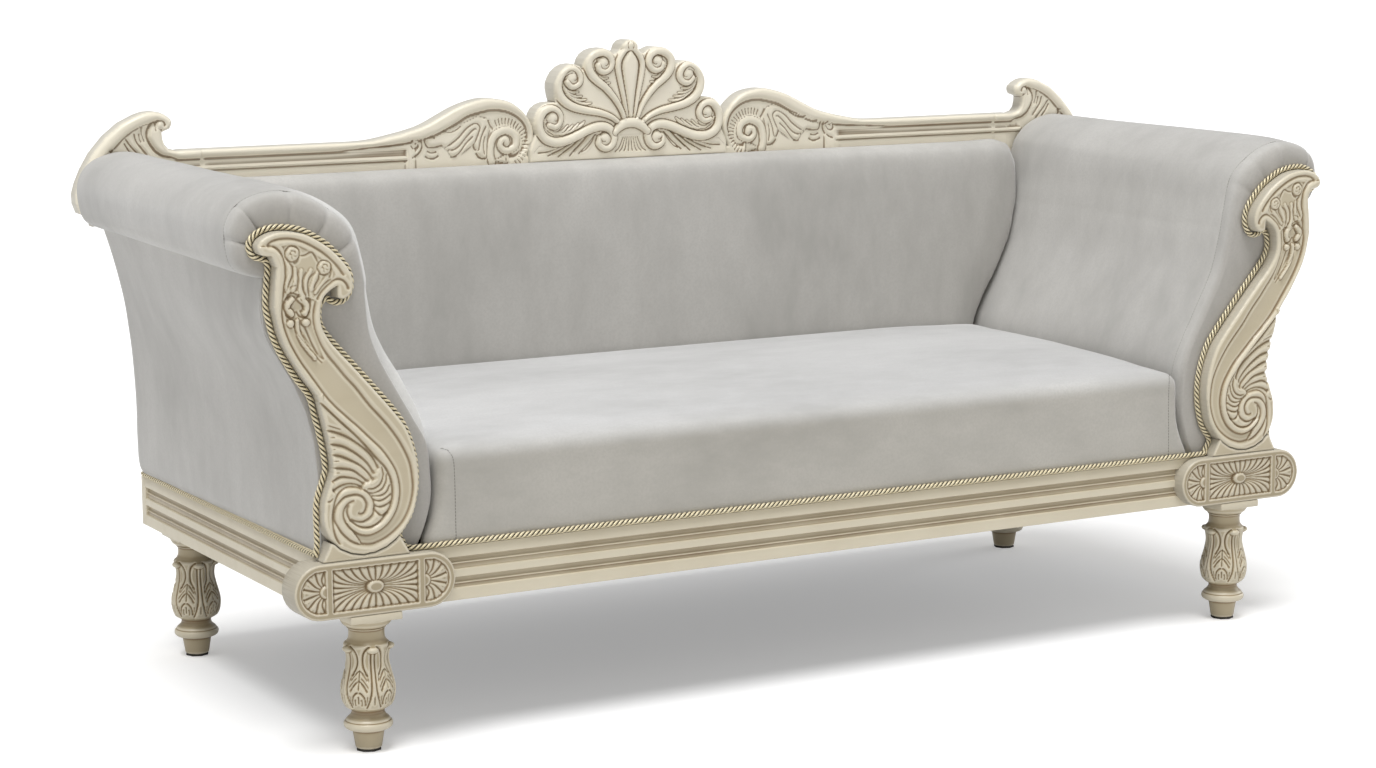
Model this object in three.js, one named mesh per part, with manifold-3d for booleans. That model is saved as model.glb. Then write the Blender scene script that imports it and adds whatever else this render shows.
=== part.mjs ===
// A carved and painted settee with two scrolled arms, a crest rail with a carved shell,
// velvet upholstery and twisted rope cord along its edges. Lengths are in millimetres.
// X runs to the right as seen from the front, Y to the back and Z up. The origin is on the
// floor, in the middle of the width and depth. Left means the side of negative X.
import * as THREE from 'three';
import { mergeVertices } from 'three/addons/utils/BufferGeometryUtils.js';
import Module from 'manifold-3d';

// Overall sizes
const overall_width = 2084;
const overall_depth = 826;
const overall_height = 1030;

// Clearances and cuts
const fit_gap = 0.3;
const cut_overrun = 2;
const merge_tolerance = 0.001;

// Legs, glides and the stud on top of each leg
const glide_height = 3;
const glide_radius = 20;
const leg_height = 214.4;
const leg_block_height = 12;
const leg_block_size = 84;
const leg_bulb_radius = 41.5;
const front_leg_setback = 42.5;
const rear_leg_inset_x = 58;
const rear_leg_inset_y = 92;
const leg_stud_radius = 4;
const leg_stud_height = 45;

// Base frame
const arm_overhang = 134;
const rail_height = 85;
const rail_thickness = 45;
const rail_band = 17;
const flute_width = 20;
const flute_depth = 7;
const flute_stop = 20;
const corner_block_size = 85;
const bearer_width = 40;
const bearer_height = 60;
const bearer_place = 420;

// Corner plaques
const plaque_width = 262;
const plaque_thickness = 51;
const plaque_overhang = 55;
const plaque_proud = 22;
const plaque_rim = 7;
const plaque_recess = 3;
const plaque_panel_half = 70;
const plaque_divider = 10;
const plaque_boss_width = 25;
const plaque_boss_height = 17;

// Arms
const arm_width = 317;
const arm_top_height = 850;
const facing_thickness = 30.7;
const facing_setback = 5;
const front_pad_thickness = 8;
const cover_thickness = 2.7;
const arm_foam_thickness = 35;
const arm_post_thickness = 25;
const arm_beam_chord = 75;
const outer_panel_thickness = 4;
const corner_wrap_depth = 85;
const back_panel_inset = 16;
const plinth_width = 149;
const plinth_height = 34;
const plinth_slope = 20;
const plinth_inner_place = 47;
const facing_peg_radius = 4;
const facing_peg_in_post = 20;

// Seat
const seat_front_overhang = 1;
const seat_edge_height = 450;
const seat_crown = 12;
const seat_corner_radius = 22;
const seat_wall = 8;
const seat_edge_softness = 18;
const strap_count = 8;
const strap_width = 60;
const strap_thickness = 2;
const strap_bearing = 24;
const dust_cover_thickness = 1;
const dust_cover_margin = 8;

// Back
const crest_inset = 95;
const back_board_thickness = 38;
const back_pad_thickness = 46;
const back_pad_height = 824;
const back_crown = 12;
const back_edge_softness = 24;
const back_side_clearance = 2;
const back_foam_inset = 8;
const post_width = 62;
const post_inset = 46;
const post_top = 740;
const middle_post_place = 190;
const outer_back_thickness = 4;
const outer_back_top = 826;
const outer_back_bottom_step = 11;
const tenon_radius = 8;
const tenon_length = 30;

// Crest rail, shell and horns
const crest_rail_height = 866;
const swell_height = 933;
const swell_half_width = 530;
const shell_half_width = 195;
const shell_proud = 16;
const shell_base = 800;
const shell_notch_half_width = 204;
const horn_height = 932;
const horn_width = 220;
const horn_inset = 7;

// Rope cord
const cord_radius = 5;
const cord_rail_overhang = 1;
const cord_corner_radius = 12;

// Numbers of facets
const leg_facets = 12;
const round_facets = 8;
const cord_sides = 6;
const cord_steps = 76;
const cord_bend_facets = 5;
const curve_facets = 3;
const cushion_corner_facets = 3;
const cushion_side_facets = 6;

// Places that follow from the sizes above
const front_plane = -overall_depth / 2;
const back_plane = overall_depth / 2;
const rail_bottom = glide_height + leg_height + 2 * fit_gap;
const rail_top = rail_bottom + rail_height;
const rail_front = front_plane + plaque_proud;
const rail_outer = overall_width / 2 - arm_overhang;
const rail_inner = rail_outer - rail_thickness;
const back_panel_half_width = rail_outer - back_panel_inset;
const post_outer_face = rail_outer - post_inset;
const horn_outer_reach = overall_width / 2 - horn_inset;
const crest_half_width = horn_outer_reach - horn_width;
const back_rail_front = back_plane - rail_thickness + fit_gap;
const plaque_center_x = rail_outer + plaque_overhang - plaque_width / 2;
const plaque_center_z = rail_bottom + rail_height / 2;
const plaque_back = front_plane + plaque_thickness;
const front_leg_y = front_plane + front_leg_setback;
const rear_leg_x = rail_outer - rear_leg_inset_x;
const rear_leg_y = back_plane - rear_leg_inset_y;
const arm_inner = overall_width / 2 - arm_width;
const arm_height = arm_top_height - rail_top;
const facing_front = front_plane + facing_setback;
const facing_back = facing_front + facing_thickness;
const pad_front = facing_back + fit_gap;
const pad_back = pad_front + front_pad_thickness;
const crest_front = back_plane - crest_inset;
const crest_back = crest_front + back_board_thickness;
const arm_front = pad_back + fit_gap;
const arm_back = crest_front - fit_gap;
const seat_front = rail_front + seat_front_overhang;
const back_pad_front = crest_front - fit_gap - back_pad_thickness;
const seat_back = back_pad_front - back_crown - fit_gap;
const webbing_bottom = rail_top + fit_gap;
const foam_bottom = webbing_bottom + strap_thickness + fit_gap;
const sofa_sides = [{ name: 'left', sign: -1 }, { name: 'right', sign: 1 }];

// Colours, roughness and metalness of the materials
const painted_wood = { color: 0xd9cfb4, roughness: 0.45, metalness: 0 };
const bare_wood = { color: 0xc49a6c, roughness: 0.8, metalness: 0 };
const velvet = { color: 0xb9b6b1, roughness: 0.95, metalness: 0 };
const foam = { color: 0xe8dcae, roughness: 1, metalness: 0 };
const gold_cord = { color: 0xb59a55, roughness: 0.6, metalness: 0.1 };
const dark_plastic = { color: 0x2b2724, roughness: 0.6, metalness: 0 };
const black_cloth = { color: 0x26262a, roughness: 1, metalness: 0 };
const jute = { color: 0xa98f63, roughness: 1, metalness: 0 };

const part = new THREE.Group();

function addPiece(name, geometry, look, parent = part) {
  const mesh = new THREE.Mesh(geometry, new THREE.MeshStandardMaterial(look));
  mesh.name = name;
  parent.add(mesh);
  return mesh;
}

// Solids: joining, cutting and turning geometry
const wasm = await Module();
wasm.setup();

function bareGeometry(geometry) {
  const bare = geometry.clone();
  bare.deleteAttribute('normal');
  bare.deleteAttribute('uv');
  return mergeVertices(bare, merge_tolerance);
}

function solidOf(geometry) {
  const bare = bareGeometry(geometry);
  const vertProperties = Float32Array.from(bare.attributes.position.array);
  const triVerts = Uint32Array.from(bare.index.array);
  return new wasm.Manifold(new wasm.Mesh({ numProp: 3, vertProperties, triVerts }));
}

function geometryOf(solid) {
  const mesh = solid.getMesh();
  const geometry = new THREE.BufferGeometry();
  geometry.setAttribute('position', new THREE.BufferAttribute(Float32Array.from(mesh.vertProperties), 3));
  geometry.setIndex(new THREE.BufferAttribute(Uint32Array.from(mesh.triVerts), 1));
  return geometry;
}

function cut(geometry, cutters) {
  let solid = solidOf(geometry);
  for (const cutter of cutters) {
    solid = solid.subtract(solidOf(cutter));
  }
  return geometryOf(solid);
}

function join(geometries) {
  let solid = solidOf(geometries[0]);
  for (const geometry of geometries.slice(1)) {
    solid = solid.add(solidOf(geometry));
  }
  return geometryOf(solid);
}

function reversed(geometry) {
  const bare = bareGeometry(geometry);
  const index = bare.index.array;
  for (let i = 0; i < index.length; i += 3) {
    [index[i + 1], index[i + 2]] = [index[i + 2], index[i + 1]];
  }
  return bare;
}

function onSide(geometry, sign) {
  return sign > 0 ? geometry : reversed(geometry.clone().scale(-1, 1, 1));
}

function volumeOf(geometry) {
  const position = geometry.attributes.position;
  const corners = [new THREE.Vector3(), new THREE.Vector3(), new THREE.Vector3()];
  let sixfold = 0;
  for (let i = 0; i < geometry.index.count; i += 3) {
    corners.forEach((corner, k) => corner.fromBufferAttribute(position, geometry.index.getX(i + k)));
    sixfold += corners[0].dot(corners[1].clone().cross(corners[2]));
  }
  return sixfold / 6;
}

// Basic shapes: boxes, prisms and round bars
function box(x, y, z) {
  const geometry = new THREE.BoxGeometry(x[1] - x[0], y[1] - y[0], z[1] - z[0]);
  return geometry.translate((x[0] + x[1]) / 2, (y[0] + y[1]) / 2, (z[0] + z[1]) / 2);
}

function prism(points, length, axes) {
  const shape = new THREE.Shape(points);
  const options = { depth: length, bevelEnabled: false, steps: 1 };
  return new THREE.ExtrudeGeometry(shape, options).applyMatrix4(axes);
}

const along_x = new THREE.Matrix4().makeBasis(
  new THREE.Vector3(0, 1, 0), new THREE.Vector3(0, 0, 1), new THREE.Vector3(1, 0, 0));
const along_y = new THREE.Matrix4().makeBasis(
  new THREE.Vector3(1, 0, 0), new THREE.Vector3(0, 0, 1), new THREE.Vector3(0, -1, 0));

// The outline is drawn in X and Z and fills the space from the front to the back
function frontPrism(points, front, back) {
  return prism(points, back - front, along_y).translate(0, back, 0);
}

// The outline is drawn in Y and Z and runs from one X to another
function sidePrism(points, from, to) {
  return prism(points, to - from, along_x).translate(from, 0, 0);
}

function barX(radius, x, y, z) {
  const geometry = new THREE.CylinderGeometry(radius, radius, x[1] - x[0], round_facets);
  return geometry.rotateZ(Math.PI / 2).translate((x[0] + x[1]) / 2, y, z);
}

function barY(radius, x, y, z) {
  const geometry = new THREE.CylinderGeometry(radius, radius, y[1] - y[0], round_facets);
  return geometry.translate(x, (y[0] + y[1]) / 2, z);
}

function barZ(radius, x, y, z) {
  const geometry = new THREE.CylinderGeometry(radius, radius, z[1] - z[0], round_facets);
  return geometry.rotateX(Math.PI / 2).translate(x, y, (z[0] + z[1]) / 2);
}

// Outlines: smooth lines through hand-placed points, and lines beside them
function smoothLine(points, facets = curve_facets) {
  return new THREE.SplineCurve(points).getPoints((points.length - 1) * facets);
}

function lineBeside(line, distance) {
  return line.map((point, i) => {
    const before = line[Math.max(i - 1, 0)];
    const after = line[Math.min(i + 1, line.length - 1)];
    const along = after.clone().sub(before).normalize();
    return new THREE.Vector2(point.x - along.y * distance, point.y + along.x * distance);
  });
}

function mirroredOutline(right) {
  const left = right.filter((point) => point.x > merge_tolerance).reverse();
  return [...right, ...left.map((point) => new THREE.Vector2(-point.x, point.y))];
}

// Closed bodies from rings of points, and thin sheets from two grids
function stackRings(rings) {
  const count = rings[0].length;
  const positions = rings.flat().flatMap((point) => [point.x, point.y, point.z]);
  const index = [];
  for (let ring = 0; ring + 1 < rings.length; ring += 1) {
    for (let i = 0; i < count; i += 1) {
      const next = (i + 1) % count;
      const low = ring * count;
      const high = low + count;
      index.push(low + i, low + next, high + next, low + i, high + next, high + i);
    }
  }
  const last = (rings.length - 1) * count;
  for (let i = 1; i + 1 < count; i += 1) {
    index.push(0, i + 1, i, last, last + i, last + i + 1);
  }
  return indexedBody(positions, index);
}

function sheet(outer, inner) {
  const rows = outer.length;
  const columns = outer[0].length;
  const positions = [...outer.flat(), ...inner.flat()].flatMap((point) => [point.x, point.y, point.z]);
  const at = (side, row, column) => (side * rows + row) * columns + column;
  const index = [];
  const quad = (a, b, c, d) => index.push(a, b, c, a, c, d);
  for (let row = 0; row + 1 < rows; row += 1) {
    for (let column = 0; column + 1 < columns; column += 1) {
      quad(at(0, row, column), at(0, row, column + 1), at(0, row + 1, column + 1), at(0, row + 1, column));
      quad(at(1, row, column), at(1, row + 1, column), at(1, row + 1, column + 1), at(1, row, column + 1));
    }
    quad(at(0, row, 0), at(0, row + 1, 0), at(1, row + 1, 0), at(1, row, 0));
    const end = columns - 1;
    quad(at(0, row, end), at(1, row, end), at(1, row + 1, end), at(0, row + 1, end));
  }
  for (let column = 0; column + 1 < columns; column += 1) {
    quad(at(0, 0, column), at(1, 0, column), at(1, 0, column + 1), at(0, 0, column + 1));
    const top = rows - 1;
    quad(at(0, top, column), at(0, top, column + 1), at(1, top, column + 1), at(1, top, column));
  }
  return indexedBody(positions, index);
}

function indexedBody(positions, index) {
  const geometry = new THREE.BufferGeometry();
  geometry.setAttribute('position', new THREE.Float32BufferAttribute(positions, 3));
  geometry.setIndex(index);
  return volumeOf(geometry) > 0 ? geometry : reversed(geometry);
}

// Legs: turned and carved posts with a square block and a stud on top, standing on glides
const leg_places = [
  { name: 'front_left', x: -plaque_center_x, y: front_leg_y },
  { name: 'front_right', x: plaque_center_x, y: front_leg_y },
  { name: 'back_left', x: -rear_leg_x, y: rear_leg_y },
  { name: 'back_right', x: rear_leg_x, y: rear_leg_y },
];
// Each point is a share of the bulb's radius and of the turned height
const leg_profile_shares = [
  [0.53, 0], [0.57, 0.086], [0.62, 0.106], [0.87, 0.15], [0.91, 0.178], [0.76, 0.23], [0.6, 0.267],
  [0.62, 0.287], [0.84, 0.327], [0.95, 0.367], [1, 0.424], [0.98, 0.49], [0.88, 0.567], [0.79, 0.647],
  [0.77, 0.712], [0.94, 0.752], [0.97, 0.785], [0.86, 0.813], [0.67, 0.849], [0.66, 0.889],
  [0.71, 0.922], [0.9, 0.957], [0.99, 1],
];
const leg_bottom = glide_height + fit_gap;
const turned_height = leg_height - leg_block_height;

function turnedLeg() {
  const wall = leg_profile_shares.map(
    ([radius, height]) => new THREE.Vector2(radius * leg_bulb_radius, height * turned_height));
  const top_share = leg_profile_shares.at(-1)[0];
  const neck = new THREE.Vector2(top_share * leg_bulb_radius, turned_height + cut_overrun);
  const foot_center = new THREE.Vector2(0, 0);
  const neck_center = new THREE.Vector2(0, turned_height + cut_overrun);
  const profile = [foot_center, ...wall, neck, neck_center];
  const turned = new THREE.LatheGeometry(profile, leg_facets).rotateX(Math.PI / 2);
  const half = leg_block_size / 2;
  const block = box([-half, half], [-half, half], [turned_height, leg_height]);
  const stud = barZ(leg_stud_radius, 0, 0, [leg_height - cut_overrun, leg_height + leg_stud_height]);
  return join([turned, block, stud]);
}

function legStudHole(x, y) {
  const reach = rail_bottom + leg_stud_height + fit_gap;
  return barZ(leg_stud_radius + fit_gap, x, y, [rail_bottom - cut_overrun, reach]);
}

function addLegs() {
  const leg = turnedLeg();
  const glide = barZ(glide_radius, 0, 0, [0, glide_height]);
  for (const place of leg_places) {
    const leg_mesh = addPiece(`leg_${place.name}`, leg, painted_wood);
    leg_mesh.position.set(place.x, place.y, leg_bottom);
    const glide_mesh = addPiece(`leg_glide_${place.name}`, glide, dark_plastic);
    glide_mesh.position.set(place.x, place.y, 0);
  }
}

// Corner plaques: thick bars with round ends, a raised rim, two dividers and a centre boss
function capsule(half_width, half_height) {
  const shape = new THREE.Shape();
  const straight = half_width - half_height;
  shape.absarc(straight, 0, half_height, -Math.PI / 2, Math.PI / 2, false);
  shape.absarc(-straight, 0, half_height, Math.PI / 2, Math.PI * 1.5, false);
  return shape.getPoints(round_facets);
}

function plaqueBody(half_width, half_height, front, back) {
  const body = frontPrism(capsule(half_width, half_height), front, back);
  return body.translate(0, 0, plaque_center_z);
}

function cornerPlaque(x) {
  const half_width = plaque_width / 2;
  const half_height = rail_height / 2;
  const body = plaqueBody(half_width, half_height, front_plane, plaque_back);
  const front = front_plane - cut_overrun;
  const field_back = front_plane + plaque_recess;
  const field = plaqueBody(half_width - plaque_rim, half_height - plaque_rim, front, field_back);
  const divider_y = [front - cut_overrun, field_back + cut_overrun];
  const divider_z = [rail_bottom, rail_top];
  const divider_x = [plaque_panel_half, plaque_panel_half + plaque_divider];
  const dividers = sofa_sides.map(({ sign }) => onSide(box(divider_x, divider_y, divider_z), sign));
  const boss_shape = new THREE.Shape();
  boss_shape.absellipse(0, 0, plaque_boss_width / 2, plaque_boss_height / 2, 0, Math.PI * 2);
  const boss = frontPrism(boss_shape.getPoints(round_facets), divider_y[0], divider_y[1]);
  boss.translate(0, 0, plaque_center_z);
  const hollow = cut(field, [...dividers, boss]);
  const plaque = cut(body, [hollow]).translate(x, 0, 0);
  return cut(plaque, [legStudHole(x, front_leg_y)]);
}

// Base frame: fluted rails, corner blocks and cross bearers
function flutes(face, inward) {
  const tops = [rail_top - rail_band, rail_bottom + rail_band + flute_width];
  return tops.map((top) => {
    const low = top - flute_width;
    const outside = face - inward * cut_overrun;
    return [
      new THREE.Vector2(outside, low),
      new THREE.Vector2(face + inward * flute_depth / 2, low),
      new THREE.Vector2(face + inward * flute_depth / 2, low + flute_width / 4),
      new THREE.Vector2(face + inward * flute_depth, low + flute_width / 2),
      new THREE.Vector2(face + inward * flute_depth, top - flute_width / 8),
      new THREE.Vector2(face + inward * flute_depth / 2, top),
      new THREE.Vector2(outside, top),
    ];
  });
}

function cornerBlock(x_from, y_from, stud_hole) {
  const block = box([x_from, x_from + corner_block_size], [y_from, y_from + corner_block_size],
    [rail_bottom, rail_top]);
  return cut(block, [stud_hole]);
}

function addBaseFrame() {
  const reach = rail_inner - fit_gap;
  const rail_z = [rail_bottom, rail_top];
  const housings = sofa_sides.map(({ sign }) => {
    const half_width = plaque_width / 2 + fit_gap;
    const half_height = rail_height / 2 + fit_gap;
    const housing = plaqueBody(half_width, half_height, rail_front - cut_overrun, plaque_back + fit_gap);
    return housing.translate(sign * plaque_center_x, 0, 0);
  });
  const front_flutes = flutes(rail_front, 1).map((outline) => sidePrism(outline, -reach, reach));
  const front = box([-reach, reach], [rail_front, rail_front + rail_thickness], rail_z);
  addPiece('front_rail', cut(front, [...housings, ...front_flutes]), painted_wood);
  addPiece('back_rail', box([-reach, reach], [back_rail_front, back_plane], rail_z), painted_wood);
  for (const { name, sign } of sofa_sides) {
    addPiece(`corner_plaque_${name}`, cornerPlaque(sign * plaque_center_x), painted_wood);
    const rail_y = [plaque_back + fit_gap, back_plane];
    const flute_y = [rail_y[0] - cut_overrun, back_plane - flute_stop];
    const side_flutes = flutes(rail_outer, -1).map(
      (outline) => frontPrism(outline, flute_y[0], flute_y[1]));
    const side = cut(box([rail_inner, rail_outer], rail_y, rail_z), side_flutes);
    addPiece(`side_rail_${name}`, onSide(side, sign), painted_wood);
    const block_x = reach - corner_block_size;
    const front_block_y = rail_front + rail_thickness + fit_gap;
    const front_hole = legStudHole(plaque_center_x, front_leg_y);
    const front_block = cornerBlock(block_x, front_block_y, front_hole);
    addPiece(`corner_block_front_${name}`, onSide(front_block, sign), bare_wood);
    const rear_block_y = back_rail_front - fit_gap - corner_block_size;
    const rear_block = cornerBlock(block_x, rear_block_y, legStudHole(rear_leg_x, rear_leg_y));
    addPiece(`corner_block_back_${name}`, onSide(rear_block, sign), bare_wood);
    const bearer_x = [bearer_place - bearer_width / 2, bearer_place + bearer_width / 2];
    const bearer_y = [front_block_y, back_rail_front - fit_gap];
    const bearer = box(bearer_x, bearer_y, [rail_bottom, rail_bottom + bearer_height]);
    addPiece(`cross_bearer_${name}`, onSide(bearer, sign), bare_wood);
  }
}

// Seat: webbing straps sewn to a cross strap, a foam block, a fitted cover and a dust cover below
function roundedRing(half_width, front, back, inset, radius, height) {
  const center_y = (front + back) / 2;
  const half_x = half_width - inset;
  const half_y = (back - front) / 2 - inset;
  const corner = Math.min(radius, half_y / 2, half_x / 2);
  const ring = [];
  for (let quarter = 0; quarter < 4; quarter += 1) {
    const sign_x = quarter === 0 || quarter === 3 ? 1 : -1;
    const sign_y = quarter < 2 ? 1 : -1;
    for (let step = 0; step <= cushion_corner_facets; step += 1) {
      const turn = (quarter + step / cushion_corner_facets) * Math.PI / 2;
      const x = sign_x * (half_x - corner) + corner * Math.cos(turn);
      const y = center_y + sign_y * (half_y - corner) + corner * Math.sin(turn);
      ring.push(new THREE.Vector3(x, y, height));
    }
    const start = ring.at(-1);
    const next_turn = (quarter + 1) * Math.PI / 2;
    const next_x = (quarter === 0 || quarter === 1 ? -1 : 1) * (half_x - corner);
    const next_y = center_y + (quarter === 0 || quarter === 3 ? 1 : -1) * (half_y - corner);
    const end = new THREE.Vector3(
      next_x + corner * Math.cos(next_turn), next_y + corner * Math.sin(next_turn), height);
    const long_side = quarter % 2 === 0;
    const facets = long_side ? cushion_side_facets : cushion_side_facets / 2;
    for (let step = 1; step < facets; step += 1) {
      ring.push(start.clone().lerp(end, step / facets));
    }
  }
  return ring;
}

// Each point is a share of the edge softness inwards and of the wall height, then of the crown
const seat_wall_shares = [
  [0.24, 0.002], [0.24, 0.075], [0.04, 0.2], [0, 0.5], [0.06, 0.78], [0.3, 0.92], [1, 1],
];
const seat_crown_shares = [[0.1, 0.3], [0.28, 0.62], [0.5, 0.84], [0.8, 0.97], [0.94, 1]];

function seatForm(wall_inset, bottom) {
  const half_width = arm_inner - fit_gap - wall_inset;
  const front = seat_front + wall_inset;
  const back = seat_back - wall_inset;
  const radius = seat_corner_radius - wall_inset;
  const wall_top = seat_edge_height - wall_inset;
  const ring_at = (inset, height) => roundedRing(half_width, front, back, inset, radius, height);
  const walls = seat_wall_shares.map(([inward, height]) => ring_at(
    inward * seat_edge_softness, bottom + height * (wall_top - bottom)));
  const reach = (back - front) / 2 - seat_edge_softness;
  const crown = seat_crown_shares.map(([inward, height]) => ring_at(
    seat_edge_softness + inward * reach, wall_top + height * seat_crown));
  return stackRings([...walls, ...crown]);
}

function dustCoverOutline() {
  const half_width = rail_outer - dust_cover_margin;
  const front = rail_front + dust_cover_margin;
  const back = back_plane - dust_cover_margin;
  const clear = leg_block_size / 2 + dust_cover_margin;
  const right = [
    new THREE.Vector2(0, front),
    new THREE.Vector2(plaque_center_x - clear, front),
    new THREE.Vector2(plaque_center_x - clear, front_leg_y + clear),
    new THREE.Vector2(half_width, front_leg_y + clear),
    new THREE.Vector2(half_width, rear_leg_y - clear),
    new THREE.Vector2(rear_leg_x - clear, rear_leg_y - clear),
    new THREE.Vector2(rear_leg_x - clear, back),
    new THREE.Vector2(0, back),
  ];
  return mirroredOutline(right);
}

function addSeat() {
  const strap_y = [rail_front + rail_thickness - strap_bearing, back_rail_front + strap_bearing];
  const strap_z = [webbing_bottom, webbing_bottom + strap_thickness];
  const strap_reach = arm_inner - strap_width;
  const cross_y = (strap_y[0] + strap_y[1]) / 2;
  const straps = [box([-strap_reach, strap_reach], [cross_y - strap_width / 2, cross_y + strap_width / 2],
    strap_z)];
  for (let i = 0; i < strap_count; i += 1) {
    const x = strap_reach * (2 * i / (strap_count - 1) - 1);
    straps.push(box([x - strap_width / 2, x + strap_width / 2], strap_y, strap_z));
  }
  addPiece('seat_webbing', join(straps), jute);
  addPiece('seat_foam', seatForm(seat_wall, foam_bottom), foam);
  const outside = seatForm(0, rail_top + fit_gap);
  const hollow = seatForm(seat_wall - fit_gap, foam_bottom - fit_gap);
  const half_width = arm_inner - fit_gap - seat_wall;
  const opening = box([-half_width, half_width], [seat_front + seat_wall, seat_back + cut_overrun],
    [rail_top - cut_overrun, foam_bottom + seat_wall]);
  addPiece('seat_cover', cut(outside, [hollow, opening]), velvet);
  const cover_top = rail_bottom - fit_gap;
  const dust_cover = prism(dustCoverOutline(), dust_cover_thickness, new THREE.Matrix4());
  dust_cover.translate(0, 0, cover_top - dust_cover_thickness);
  addPiece('dust_cover', dust_cover, black_cloth);
}

// Arms. Every outline is a table of shares of the arm's width, from its inner side outwards,
// and of its height above the rails.
const arm_cover_shares = [
  [0.057, 0], [0.025, 0.055], [0.013, 0.139], [0.002, 0.216], [0.008, 0.293], [0.057, 0.367],
  [0.148, 0.466], [0.262, 0.587], [0.328, 0.709], [0.325, 0.79], [0.366, 0.883], [0.445, 0.929],
  [0.565, 0.974], [0.694, 1], [0.811, 0.998], [0.915, 0.978], [0.975, 0.941], [1, 0.896],
  [0.978, 0.826], [0.924, 0.795], [0.849, 0.782],
];
const arm_outer_shares = [
  [0.836, 0.774], [0.836, 0.717], [0.817, 0.644], [0.757, 0.565], [0.678, 0.488], [0.621, 0.41],
  [0.584, 0.324], [0.568, 0.232], [0.561, 0.122], [0.561, 0.04], [0.561, 0.021], [0.561, 0],
];
// At the rear each row has its own share of the width and of the corner wrap's depth
const arm_rear_shares = [
  [0.833, 1], [0.776, 0.82], [0.727, 0.67], [0.688, 0.55], [0.658, 0.42], [0.64, 0.35],
  [0.628, 0.32], [0.618, 0.27], [0.612, 0.22], [0.6, 0.19], [0.563, 0.18], [0.561, 0.18],
];
const facing_inner_shares = [
  [0.186, 0.062], [0.13, 0.11], [0.105, 0.166], [0.098, 0.217], [0.11, 0.274], [0.14, 0.328],
  [0.185, 0.374], [0.303, 0.456], [0.438, 0.544], [0.505, 0.586], [0.546, 0.618], [0.572, 0.65],
  [0.576, 0.681], [0.568, 0.711], [0.55, 0.73], [0.521, 0.744], [0.492, 0.753],
];
const facing_head_shares = [
  [0.489, 0.722], [0.456, 0.718], [0.42, 0.733], [0.41, 0.755], [0.416, 0.779], [0.445, 0.812],
  [0.527, 0.863], [0.64, 0.905], [0.694, 0.916], [0.751, 0.919], [0.807, 0.919], [0.852, 0.91],
  [0.893, 0.901], [0.911, 0.883], [0.911, 0.868], [0.899, 0.852], [0.871, 0.845], [0.839, 0.845],
];
const facing_outer_shares = [
  [0.823, 0.814], [0.833, 0.77], [0.842, 0.722], [0.839, 0.691], [0.801, 0.609], [0.713, 0.519],
  [0.644, 0.463], [0.621, 0.41], [0.596, 0.351], [0.574, 0.287], [0.57, 0.255], [0.574, 0.238],
  [0.612, 0.176], [0.62, 0.139], [0.615, 0.101], [0.593, 0.068],
];
const facing_bottom_shares = [[0.52, 0.032], [0.39, 0.011], [0.27, 0.026]];
const facing_peg_shares = [[0.7, 0.845], [0.49, 0.47], [0.36, 0.22]];
const arm_cord_shares = [
  [0.637, 0.012], [0.637, 0.05], [0.644, 0.1], [0.647, 0.142], [0.634, 0.185], [0.596, 0.242],
  [0.594, 0.262], [0.6, 0.29], [0.62, 0.346], [0.644, 0.405], [0.668, 0.458], [0.735, 0.512],
  [0.824, 0.603], [0.864, 0.685], [0.867, 0.722], [0.859, 0.77], [0.849, 0.812], [0.87, 0.829],
  [0.908, 0.836], [0.93, 0.854], [0.937, 0.88], [0.927, 0.905], [0.898, 0.922], [0.855, 0.931],
  [0.807, 0.937], [0.751, 0.939], [0.69, 0.935], [0.635, 0.923], [0.517, 0.879], [0.425, 0.824],
  [0.392, 0.785], [0.384, 0.753], [0.397, 0.722], [0.424, 0.703], [0.456, 0.697], [0.492, 0.7],
  [0.52, 0.713], [0.541, 0.703], [0.552, 0.681], [0.549, 0.657], [0.527, 0.63], [0.49, 0.602],
  [0.423, 0.559], [0.288, 0.471], [0.169, 0.388], [0.12, 0.337], [0.086, 0.276], [0.074, 0.217],
  [0.081, 0.161], [0.102, 0.1], [0.12, 0.06], [0.128, 0.012],
];

function armPoint([across, up]) {
  return new THREE.Vector2(arm_inner + across * arm_width, rail_top + up * arm_height);
}

function armLine(shares) {
  return shares.map(armPoint);
}

function onRail(point) {
  return new THREE.Vector2(point.x, Math.max(point.y, rail_top + fit_gap));
}

const arm_cover_line = smoothLine(armLine(arm_cover_shares), 2).map(onRail);
const arm_outer_line = armLine(arm_outer_shares).map(onRail);
// The padding stops where the roll turns under
const arm_padding_line = smoothLine(armLine(arm_cover_shares.slice(0, -2)), 2).map(onRail);

function strip(line, from, to) {
  const near = lineBeside(line, -from).map(onRail);
  return [...near, ...lineBeside(line, -to).map(onRail).reverse()];
}

function postEdge() {
  const depth = cover_thickness + arm_foam_thickness + 2 * fit_gap;
  return lineBeside(arm_padding_line, -depth).map(onRail);
}

function facingOutline() {
  const inner = smoothLine(armLine(facing_inner_shares), 2);
  const head = smoothLine(armLine(facing_head_shares), 2);
  const outer = smoothLine(armLine(facing_outer_shares), 2);
  return [...inner, ...head, ...outer, ...armLine(facing_bottom_shares)];
}

function postOutline() {
  const inner = postEdge();
  const margin = 3 * outer_panel_thickness;
  const limit = armPoint(arm_rear_shares[0]).x - margin;
  const outer = arm_outer_line.map((point, row) => {
    const rear_x = armPoint(arm_rear_shares[row]).x;
    return new THREE.Vector2(Math.min(point.x, rear_x, limit) - margin, point.y);
  });
  return [...inner.filter((point) => point.y > outer[0].y || point.x < outer[0].x), ...outer];
}

function beamOutline() {
  const inner = postEdge();
  const level = Math.max(...inner.map((point) => point.y)) - arm_beam_chord / 2;
  return inner.filter((point) => point.y > level);
}

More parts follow.
